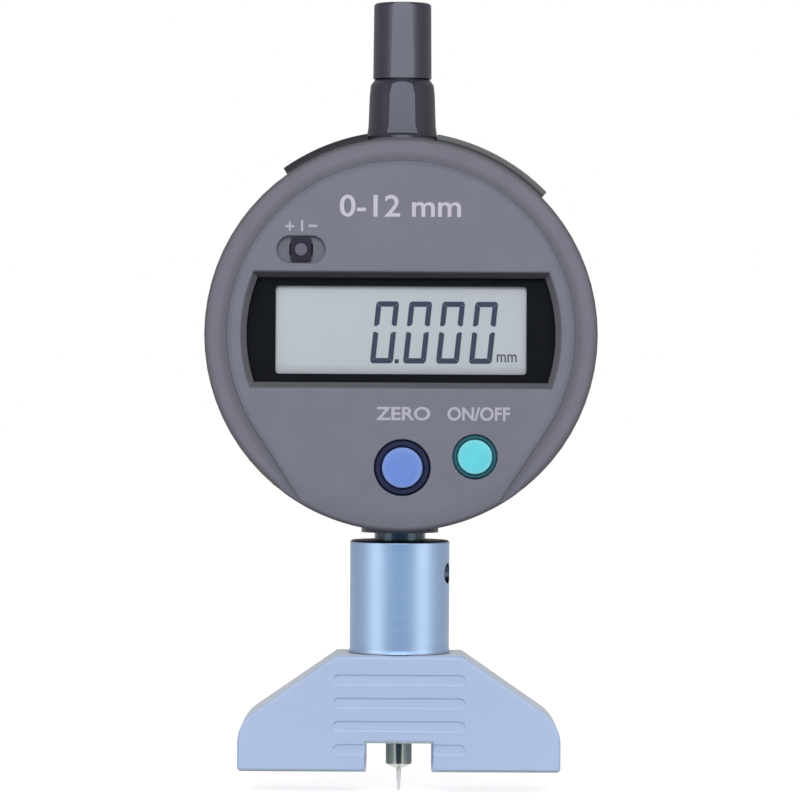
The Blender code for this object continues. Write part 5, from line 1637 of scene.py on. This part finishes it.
@dataclass
class Display:
    """The window lens, its black mask, the display and what it shows."""

    window: Window
    lens_gap: float = 0.0003
    lens_rounding: float = 0.00008
    mask_front: float = 0.0096
    mask_back: float = 0.0092
    mask_overlap: float = 0.0009
    mask_rounding: float = 0.00006
    panel_half_width: float = 0.0205
    panel_half_height: float = 0.0076
    panel_back: float = 0.0071
    panel_rounding: float = 0.0001
    digits: int = 4
    digit_width: float = 0.00352
    digit_height: float = 0.00955
    digit_pitch: float = 0.00508
    digit_stroke: float = 0.00082
    digit_gap: float = 0.00002
    digit_break: float = 0.0053
    digit_pause: float = 0.0006
    digit_slant: float = math.tan(math.radians(5.9))
    first_digit: Point = (-0.00478, -0.00440)
    point_spot: Point = (-0.00068, -0.00408)
    point_half: float = 0.00031
    ink: float = 0.00003

    def build(self) -> None:
        """Builds the display's pieces from front to back."""
        window, place, body = self.window, at_body(), Body.INDICATOR
        low, high = self.mask_back, self.mask_front
        lens = Shape.plate(window.outline(), high + self.lens_gap, AT.lens_front, place)
        lens.softened(self.lens_rounding, 2, 50)
        lens.piece(
            "window_lens_finished", Finishes.WINDOW, body, Slot.CLEAR_WINDOW, ["window_lens"]
        )
        mask = Shape.plate(window.outline(self.mask_overlap), low, high, place)
        sizes = window.display_width, window.display_height, window.display_corner
        opening = round_rectangle(*sizes, (0, window.middle))
        mask.cut(Shape.plate(opening, low - AT.beyond, high + AT.beyond, place))
        mask.softened(self.mask_rounding, 2, 50)
        mask.piece(
            "display_mask_finished", Finishes.BLACK, body, Slot.BLACK_PLASTIC, ["display_mask"]
        )
        width, height = self.panel_half_width, self.panel_half_height
        low = (-width, window.middle - height, self.panel_back)
        high = (width, window.middle + height, AT.lcd_front)
        panel = Shape.block(low, high, place).softened(self.panel_rounding, 2, 50)
        panel.piece("display_panel", Finishes.LCD, body, Slot.DISPLAY_GLASS, ["lcd_panel"])
        self.reading()

    def segments(self) -> list[list[Point]]:
        """The outlines of a nought's six segments, upright, from its lower left corner."""
        width, height = self.digit_width, self.digit_height
        stroke, gap = self.digit_stroke, self.digit_gap
        cut, middle = stroke * 0.42, height / 2
        top = [
            (cut, height),
            (width - cut, height),
            (width - gap * 0.5, height - cut + gap),
            (width - stroke - gap * 0.2, height - stroke),
            (stroke + gap * 0.2, height - stroke),
            (gap * 0.5, height - cut + gap),
        ]
        outlines = []
        upper = self.digit_break + self.digit_pause
        lower = height - self.digit_break + self.digit_pause
        for along, end in ((1, upper), (-1, lower)):
            side = [
                (width, height - cut - gap * 0.5),
                (width, end - stroke * 0.1),
                (width - stroke * 0.5, end - stroke * 0.22),
                (width - stroke, end + stroke * 0.15),
                (width - stroke, height - stroke - gap * 0.9),
            ]
            upright = [(x - width / 2, middle + along * (y - middle)) for x, y in side]
            for across in (1, -1):
                outlines.append([(width / 2 + across * x, y) for x, y in upright])
        for along in (1, -1):
            outlines.append([(x, middle + along * (y - middle)) for x, y in top])
        return outlines

    def reading(self) -> None:
        """The figures, the decimal point and the unit on the display."""
        figures = Shape(at_body())
        for index in range(self.digits):
            for outline in self.segments():
                self.mark(figures, outline, self.first_digit[0] + index * self.digit_pitch)
        half = self.point_half
        across, rise = self.point_spot[0], self.point_spot[1] - self.first_digit[1]
        corners = ((-half, -half), (half, -half), (half, half), (-half, half))
        self.mark(figures, [(x + across, y + rise) for x, y in corners], 0)
        figures.closed()
        glass = Slot.DISPLAY_GLASS
        figures.piece("display_figures", Finishes.SEGMENT, Body.INDICATOR, glass)
        Word(
            "display_unit",
            "mm",
            (0.0163, -0.00352),
            0.00125,
            Finishes.FAINT,
            0.0031,
            back=AT.lcd_front,
            slot=glass,
        ).build()

    def mark(self, shape: Shape, outline: Sequence[Point], across: float) -> None:
        """Adds one slanted mark to a shape.

        Args:
            shape: The shape that it is added to.
            outline: Its upright outline, from the lower left corner of its figure.
            across: Where that corner stands.
        """
        base = self.first_digit[1]
        slanted = [(across + x + y * self.digit_slant, base + y) for x, y in outline]
        plate = Shape.plate(slanted, AT.lcd_front - self.ink / 3, AT.lcd_front + self.ink)
        spare = bpy.data.meshes.new("mark")
        plate.mesh.to_mesh(spare)
        shape.mesh.from_mesh(spare)
        plate.mesh.free()
        bpy.data.meshes.remove(spare)


@dataclass(frozen=True)
class Flats:
    """A flat in front of the axis and one behind it, which may lean.

    Each end gives the flat's distance from the axis and its level.
    """

    low: Point
    high: Point
    reach: float = 0.01
    slack: float = 2e-6

    def cutters(self) -> list[Shape]:
        """The cutters of both flats."""
        cutters, reach = [], self.reach
        for side in (1, -1):
            ends = []
            for near, _ in (self.low, self.high):
                inner, outer = side * near, side * reach
                ends.append([(-reach, inner), (reach, inner), (reach, outer), (-reach, outer)])
            cutters.append(Shape.flared(ends, (self.low[1], self.high[1])))
        return cutters

    def bound(self, one: Vector, other: Vector) -> bool:
        """Whether an edge bounds a flat, from the two ends of the edge."""
        lean = (self.high[0] - self.low[0]) / (self.high[1] - self.low[1])
        return all(
            abs(abs(end.y) - self.low[0] - lean * (end.z - self.low[1])) < self.slack
            for end in (one, other)
        )


@dataclass
class Cap:
    """The sleeve on the case and the cap over the spindle, each with flats front and back."""

    sleeve: tuple[Point, ...] = (
        (0.0042, 0.1109),
        (0.0049, 0.10995),
        (0.00508, 0.1084),
        (0.00525, 0.1035),
        (0.0055, 0.1019),
        (0.0055, 0.1003),
    )
    sleeve_rounding: float = 0.0004
    sleeve_flats: Flats = Flats((0.00486, 0.1023), (0.0046, 0.1119))
    sleeve_flat_rounding: float = 0.0002
    cap_top: float = 0.1227
    cap_bottom: float = 0.11093
    cap_radius: float = 0.00445
    cap_foot: float = 0.00455
    cap_rounding: float = 0.0006
    cap_flats: Flats = Flats((0.00418, 0.10993), (0.00418, 0.1237))
    cap_flat_rounding: float = 0.0003
    bore: float = 0.00385
    cap_bore: float = 0.0029
    step: float = 0.11435
    wall: float = 0.0012

    def build(self) -> None:
        """Builds the sleeve and the cap."""
        top, bottom = self.sleeve[0][1], self.sleeve[-1][1]
        outer = [(self.bore, top), *self.sleeve, (self.bore, bottom)]
        sleeve = Shape.turned(rounded(outer, self.sleeve_rounding, 5), 96, hollow=True)
        sleeve.cut(*self.sleeve_flats.cutters())
        sleeve.softened(self.sleeve_flat_rounding, 3, 9, self.sleeve_flats.bound)
        sleeve.cut(Shape.copied("housing"), Shape.copied("rear_cover"))
        body, slot = Body.INDICATOR, Slot.CAP_PLASTIC
        sleeve.piece("cap_sleeve_finished", Finishes.SLEEVE, body, slot, ["cap_sleeve"], 60)
        top, bottom, inside = self.cap_top, self.cap_bottom, self.cap_top - self.wall
        outer = [(0, top), (self.cap_radius, top), (self.cap_foot, bottom)]
        inner = [
            (self.bore, bottom),
            (self.bore, self.step),
            (self.cap_bore, self.step),
            (self.cap_bore, inside),
            (0, inside),
        ]
        cap = Shape.turned(rounded(outer, self.cap_rounding, 7) + inner, 96)
        cap.cut(*self.cap_flats.cutters())
        cap.softened(self.cap_flat_rounding, 4, 9, self.cap_flats.bound)
        cap.piece("spindle_cap_finished", Finishes.CAP, body, slot, ["spindle_cap"], 60)


@dataclass
class Base:
    """The bridge base, its collar, the clamp screw and the stem in it."""

    width: float = 0.050
    depth: float = 0.016
    top_width: float = 0.0196
    slope: float = math.radians(34.6)
    corner: float = 0.0062
    chamfer: float = 0.00042
    edge: float = 0.00012
    foot_corner: float = 0.0006
    notch_width: float = 0.0101
    notch_depth: float = 0.0044
    groove_length: float = 0.0203
    groove_width: float = 0.00155
    groove_depth: float = 0.0003
    groove_count: int = 4
    groove_pitch: float = 0.00358
    groove_drop: float = 0.0038
    spigot_radius: float = 0.0055
    spigot_length: float = 0.006
    bore: float = 0.0028
    collar_radius: float = 0.00775
    collar_rounding: float = 0.00045
    flare: float = 0.0002
    flare_levels: Point = (0.0008, 0.0001)
    stem_radius: float = 0.004
    stem_rounding: float = 0.00015
    shoulder: float = 0.0233
    clamp_level: float = 0.0340
    clamp_radius: float = 0.0015
    clamp_play: float = 0.0001
    clamp_span: Point = (0.0037, 0.0097)
    clamp_rounding: float = 0.0001
    clamp_turn: float = math.radians(15)

    def outline(self) -> list[Point]:
        """The foot's front outline with its notch."""
        half, rise = self.width / 2, math.tan(self.slope)
        corner_across = half - self.corner
        tangent = corner_across + self.corner * math.sin(self.slope)
        level = AT.base_top - (tangent - self.top_width / 2) * rise
        level -= self.corner * math.cos(self.slope)
        foot = (half - self.foot_corner, AT.base_face + self.foot_corner)
        right = [(self.top_width / 2, AT.base_top)]
        right += arc(self.corner, self.slope, math.pi / 2, 16, (corner_across, level))
        right += arc(self.foot_corner, math.pi / 2, math.pi, 4, foot)
        right += [
            (self.notch_width / 2, AT.base_face),
            (self.notch_width / 2, AT.base_face + self.notch_depth),
        ]
        return right + [(-across, level) for across, level in reversed(right)]

    def grooves(self, front: float) -> list[Shape]:
        """Cutters of the grip grooves that start at a distance in front of the axis."""
        low, high = sorted((front, front + math.copysign(self.groove_depth + AT.beyond, front)))
        cutters = []
        for index in range(self.groove_count):
            level = AT.base_top - self.groove_drop - index * self.groove_pitch
            ends = stadium(self.groove_length, self.groove_width, 16, level)
            cutters.append(Shape.plate(ends, low, high, FRONT))
        return cutters

    def build(self) -> None:
        """Builds the base's pieces."""
        half = self.depth / 2
        foot = Shape.plate(self.outline(), -half, half, FRONT)
        foot.softened(self.chamfer, 1, 60, lambda one, other: abs(one.z - other.z) < 1e-6)
        floor = half - self.groove_depth
        foot.cut(*self.grooves(floor), *self.grooves(-floor))
        seat, top = self.spigot_radius + AT.slit, AT.base_top + AT.beyond
        well_floor = AT.base_top - self.spigot_length - 2 * AT.slit
        well = [
            (0, top),
            (seat, top),
            (seat, well_floor),
            (self.bore, well_floor),
            (self.bore, AT.base_face),
            (0, AT.base_face),
        ]
        foot.softened(self.edge, 2, 35)
        foot.cut(Shape.turned(well, 72))
        slot, name = Slot.GROUND_STEEL, "base_foot"
        foot.piece(name + "_finished", Finishes.BASE, Body.BASE, slot, [name], 50)
        self.collar()
        width = self.stem_rounding
        polished("stem", Finishes.STEM, Body.INDICATOR, Slot.STEM_STEEL, width)

    def collar(self) -> None:
        """The turned collar with its clamp hole, and the screw in it."""
        hole, outside, bottom = self.stem_radius + AT.slit, self.collar_radius, AT.base_top
        flare_top, flare_bottom = (bottom + height for height in self.flare_levels)
        profile = [
            (hole, self.shoulder),
            (hole, AT.collar_top),
            (outside, AT.collar_top),
            (outside, flare_top),
            (outside + self.flare, flare_bottom),
            (self.spigot_radius, flare_bottom),
            (self.spigot_radius, bottom - self.spigot_length),
            (self.bore, bottom - self.spigot_length),
            (self.bore, self.shoulder),
        ]
        collar = Shape.turned(profile, 144, hollow=True)
        top = AT.collar_top - AT.near
        collar.softened(self.collar_rounding, 4, 50, lambda one, other: min(one.z, other.z) > top)
        aim = Matrix.Translation((0, 0, self.clamp_level))
        aim = aim @ Matrix.Rotation(-self.clamp_turn, 4, "Z")
        aim = aim @ Matrix.Rotation(math.pi / 2, 4, "Y")
        collar.cut(Shape.rod(self.clamp_radius + self.clamp_play, *self.clamp_span, 48, aim))
        slot, name, width = Slot.COLLAR_STEEL, "base_collar", self.clamp_rounding
        collar.piece(name + "_finished", Finishes.COLLAR, Body.BASE, slot, [name], 30)
        polished("clamp_screw", Finishes.DARK_STEEL, Body.CLAMP, Slot.DARK_STEEL, width)


@dataclass
class Contact:
    """The contact point under the spindle and the needle in it."""

    bottom: float = 0.0036
    top: float = 0.0122
    radius: float = 0.00205
    cone: float = 0.0006
    nose: float = 0.0010
    shank: float = 0.0016
    root: float = 0.0004
    play: float = 0.0001
    spare_depth: float = 0.0003
    rounding: float = 0.00012
    tip: tuple[Point, ...] = ((0.0002, 0.0002), (0.00016, 0.00006), (0.00008, 0.00001), (0, 0))

    def build(self) -> None:
        """Builds the contact point and its needle."""
        hole, top = self.root + self.play, self.bottom + self.shank
        outer = [
            (0, self.top),
            (self.radius, self.top),
            (self.radius, self.bottom + self.cone),
            (self.nose, self.bottom),
            (hole, self.bottom),
        ]
        inner = [(hole, top + self.spare_depth), (0, top + self.spare_depth)]
        contact = Shape.turned(rounded(outer, self.rounding, 3) + inner, 64)
        body, name = Body.SPINDLE, "contact_point"
        contact.piece(name + "_finished", Finishes.CONTACT, body, Slot.DARK_STEEL, [name])
        profile = [(0, top), (self.root, top), (self.root, self.bottom), *self.tip]
        needle, name = Shape.turned(profile, 32), "contact_needle"
        needle.piece(name + "_finished", Finishes.NEEDLE, body, Slot.BRIGHT_STEEL, [name])


@dataclass
class Spring:
    """The coil that pulls the spindle down, fixed to the case below and the carrier above."""

    across: float = -0.0076
    radius: float = 0.0013
    wire: float = 0.00018
    turns: int = 11
    steps: int = 20

    def build(self) -> None:
        """Builds the coil where the CAD spring stands, and hides the CAD spring."""
        low, high = (corner.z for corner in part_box("return_spring"))
        low, high = low + self.wire, high - self.wire
        coil = Shape()
        made = bmesh.ops.create_circle(coil.mesh, segments=8, radius=self.wire, cap_ends=False)
        ring, edges = made["verts"], coil.mesh.edges[:]
        start = Vector((self.across + self.radius, 0, low))
        quarter = Matrix.Rotation(math.pi / 2, 3, "X")
        bmesh.ops.rotate(coil.mesh, verts=ring, cent=(0, 0, 0), matrix=quarter)
        bmesh.ops.translate(coil.mesh, verts=ring, vec=start)
        grown = bmesh.ops.spin(
            coil.mesh,
            geom=ring + edges,
            cent=(self.across, 0, 0),
            axis=(0, 0, 1),
            dvec=(0, 0, (high - low) / (self.turns * self.steps)),
            angle=2 * math.pi * self.turns,
            steps=self.turns * self.steps,
            use_merge=False,
            use_duplicate=False,
        )
        last = [item for item in grown["geom_last"] if isinstance(item, bmesh.types.BMEdge)]
        bmesh.ops.contextual_create(coil.mesh, geom=edges)
        bmesh.ops.contextual_create(coil.mesh, geom=last)
        obj = coil.closed().standing("return_spring_finished")
        obj.data.polygons.foreach_set("use_smooth", [True] * len(obj.data.polygons))
        obj.data.materials.append(Finishes.BRIGHT_STEEL.material())
        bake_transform(obj)
        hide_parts("return_spring")
        LOG.info("piece %s between two bodies", obj.name)


@dataclass
class Works:
    """What works inside the case: CAD nodes that keep their shape and take their finish."""

    def build(self) -> None:
        """Gives each node that still shows its finish: bright steel, if none is named."""
        finishes = {
            "lower_bushing": Finishes.BRASS,
            "upper_bushing": Finishes.BRASS,
            "scale_strip": Finishes.SCALE,
            "main_board": Finishes.BOARD,
            "detector_board": Finishes.BOARD,
            "lcd_holder": Finishes.WHITE,
            "lcd_contact_strip": Finishes.ELASTOMER,
            "battery_contact": Finishes.BRIGHT_STEEL,
            "battery_holder": Finishes.BLACK,
            "battery": Finishes.BATTERY,
            "data_connector": Finishes.BLACK,
            "rear_gasket": Finishes.BLACK_RUBBER,
            "sign_switch_body": Finishes.BLACK,
            "origin_switch": Finishes.BLACK,
            "power_switch": Finishes.BLACK,
        }
        for name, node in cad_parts.items():
            if node.hide_render:
                continue
            kinds = [kind for kind in finishes if name.startswith(kind)]
            finish = finishes[max(kinds, key=len)] if kinds else Finishes.BRIGHT_STEEL
            node.data.materials.clear()
            node.data.materials.append(finish.material())
            LOG.info("node %s keeps its shape", name)


@dataclass(frozen=True)
class Lamp:
    """A soft rectangular lamp aimed at the gauge."""

    name: str
    spot: tuple[float, float, float]
    size: Point
    power: float
    lights_matt: bool = True
    aim: tuple[float, float, float] = (0.0, 0.0, 0.06)

    def build(self) -> None:
        """Hangs the lamp."""
        data = bpy.data.lights.new(self.name, "AREA")
        data.shape = "RECTANGLE"
        data.size, data.size_y = self.size
        data.energy = self.power
        obj = bpy.data.objects.new(self.name, data)
        bpy.context.scene.collection.objects.link(obj)
        obj.location = self.spot
        aim = Vector(self.aim) - Vector(self.spot)
        obj.rotation_euler = aim.to_track_quat("-Z", "Y").to_euler()
        obj.visible_diffuse = self.lights_matt


@dataclass
class Studio:
    """Camera, lights, floor and background."""

    distance: float = 0.700
    camera_level: float = 0.0659
    aim_level: float = 0.0609
    aim_across: float = -0.0001
    lens: float = 201.9
    roll: float = math.radians(0.31)
    ambient: float = 0.34
    dark_spread: float = 0.36
    dark_edge: float = 0.02
    dark_rise: Point = (0.50, 0.40)
    darkness: float = 0.3
    dark_tint: Colour = (0.5, 0.9, 1.36)
    behind: Point = (0.2, 0.8)
    dimness: float = 0.3
    floor_size: float = 4.0
    floor_drop: float = 0.0001
    floor_colour: Colour = (0.75, 0.75, 0.75)
    floor_glow: float = 0.76
    floor_spread: float = 0.75
    far_range: Point = (0.18, 0.26)
    # Painted shadow under the base's foot: its reach along X, the notch left out, and its reach
    # along Y.
    foot_shadow_ends: Point = (0.0265, 0.0255)
    foot_shadow_notch: Point = (0.0055, 0.0065)
    foot_shadow_sides: Point = (0.0095, 0.0085)
    lamps: tuple[Lamp, ...] = (
        Lamp("key", (0.0, -1.15, 0.72), (1.2, 0.8), 10.35),
        Lamp("left_strip", (-0.50, -0.35, 0.06), (0.36, 0.5), 1.1, False),
        Lamp("right_strip", (0.50, -0.35, 0.06), (0.36, 0.5), 1.1, False),
    )

    def build(self) -> None:
        """Sets up the studio round the gauge."""
        self.camera()
        self.background()
        self.floor()
        for lamp in self.lamps:
            lamp.build()
        bpy.context.scene.view_settings.view_transform = "Standard"

    def camera(self) -> None:
        """The camera, near the body's level and rolled as the photograph leans."""
        data = bpy.data.cameras.new("camera")
        data.lens = self.lens
        data.sensor_width = 36
        data.clip_start = 0.01
        data.clip_end = 50
        obj = bpy.data.objects.new("camera", data)
        bpy.context.scene.collection.objects.link(obj)
        obj.location = (self.aim_across, -self.distance, self.camera_level)
        aim = Vector((self.aim_across, 0, self.aim_level)) - obj.location
        obj.rotation_mode = "QUATERNION"
        obj.rotation_quaternion = aim.to_track_quat("-Z", "Y") @ Quaternion((0, 0, 1), self.roll)
        bpy.context.scene.camera = obj

    def rays(self, tree: NodeTree) -> tuple[Value, Value]:
        """Marks rays by their kind.

        Args:
            tree: The tree that reads them.

        Returns:
            1 for rays that see the background, from camera, gloss and glass, and 1 for gloss.
        """
        seen, gloss, through = (
            tree.node("ShaderNodeLightPath", output=f"Is {kind} Ray")
            for kind in ("Camera", "Glossy", "Transmission")
        )
        return seen.larger(gloss).larger(through), gloss

    def dark_side(self, across: Value, along: Value, spread: float) -> Value:
        """1 towards the dark of the room behind the camera, as seen from the gauge.

        Args:
            across: Place or direction along X.
            along: Place or direction along Y.
            spread: Half the dark's width at a distance of 1 from the gauge.

        Returns:
            The share of darkness.
        """
        return (along * -spread - across.size()).ramp(0.0, self.dark_edge)

    def background(self) -> None:
        """A white background over a weaker world light; gloss shows the dark of the room."""
        world = bpy.data.worlds.new("studio")
        tree = NodeTree(world)
        seen, gloss = self.rays(tree)
        across, along, rise = tree.parts(tree.node("ShaderNodeTexCoord", output="Generated"))
        dark = self.dark_side(across, along, self.dark_spread) * rise.ramp(*self.dark_rise)
        behind = along.ramp(*self.behind) * self.dimness
        dimmed = 1.0 - gloss * (dark * self.darkness).larger(behind)
        tint = tree.mix(gloss * dark, WHITE, self.dark_tint)
        light = tree.node("ShaderNodeBackground", inputs={0: WHITE, 1: self.ambient})
        view = tree.node("ShaderNodeBackground", inputs={0: tint, 1: dimmed})
        mix = tree.node("ShaderNodeMixShader", inputs={0: seen, 1: light, 2: view})
        tree.node("ShaderNodeOutputWorld", inputs={"Surface": mix})
        bpy.context.scene.world = world

    def floor(self) -> None:
        """A plain white floor under the needle; gloss sees a painted shadow under the base's foot
        and the dark room on it.
        """
        shape = Shape()
        bmesh.ops.create_grid(shape.mesh, x_segments=1, y_segments=1, size=self.floor_size)
        bmesh.ops.translate(shape.mesh, verts=shape.mesh.verts, vec=(0, 0, -self.floor_drop))
        floor = shape.standing("floor")
        material = bpy.data.materials.new("white_floor")
        tree = NodeTree(material)
        seen, gloss = self.rays(tree)
        across, along, _ = tree.parts(tree.node("ShaderNodeTexCoord", output="Object"))
        # Painted shadow under the base's foot, seen only by gloss, with the notch left out.
        foot = across.size().ramp(*self.foot_shadow_ends) * across.size().ramp(*self.foot_shadow_notch)
        foot = foot * along.size().ramp(*self.foot_shadow_sides)
        dark = self.dark_side(across, along, self.floor_spread).larger(foot) * gloss
        matt = tree.node("ShaderNodeBsdfDiffuse", inputs={"Color": self.floor_colour})
        glow = tree.node("ShaderNodeEmission", inputs={"Strength": seen * self.floor_glow})
        far = along.size().ramp(*self.far_range) * (1.0 - self.darkness)
        room = tree.node("ShaderNodeEmission", inputs={"Color": self.dark_tint, "Strength": far})
        both = tree.node("ShaderNodeAddShader", inputs={0: matt, 1: glow})
        mix = tree.node("ShaderNodeMixShader", inputs={0: dark, 1: both, 2: room})
        tree.node("ShaderNodeOutputMaterial", inputs={"Surface": mix})
        floor.data.materials.append(material)


def main() -> None:
    """Builds the gauge's finished pieces, then the studio round it."""
    logging.basicConfig(level=logging.INFO, format="%(name)s: %(message)s")
    window = Window()
    slide = SignSlide()
    origin = Button(
        "origin_button",
        Body.ORIGIN,
        across=0.0003,
        drop=0.0204,
        radius=0.0031,
        seal_radius=0.0042,
        skin=Finishes.BLUE,
        rubber=Finishes.BLUE_RUBBER,
        skin_slot=Slot.BLUE_BUTTON,
        rubber_slot=Slot.BLUE_RUBBER,
    )
    power = Button(
        "power_button",
        Body.POWER,
        across=0.01145,
        drop=0.0187,
        radius=0.00265,
        seal_radius=0.0033,
        skin=Finishes.CYAN,
        rubber=Finishes.GREEN_RUBBER,
        skin_slot=Slot.CYAN_BUTTON,
        rubber_slot=Slot.GREEN_RUBBER,
    )
    case = Case(window, slide, [origin, power])
    front = (case, Display(window), slide, origin, power, Print())
    for assembly in (*front, Cap(), Base(), Contact(), Spring(), Works(), Studio()):
        assembly.build()


if __name__ == "__main__":
    main()
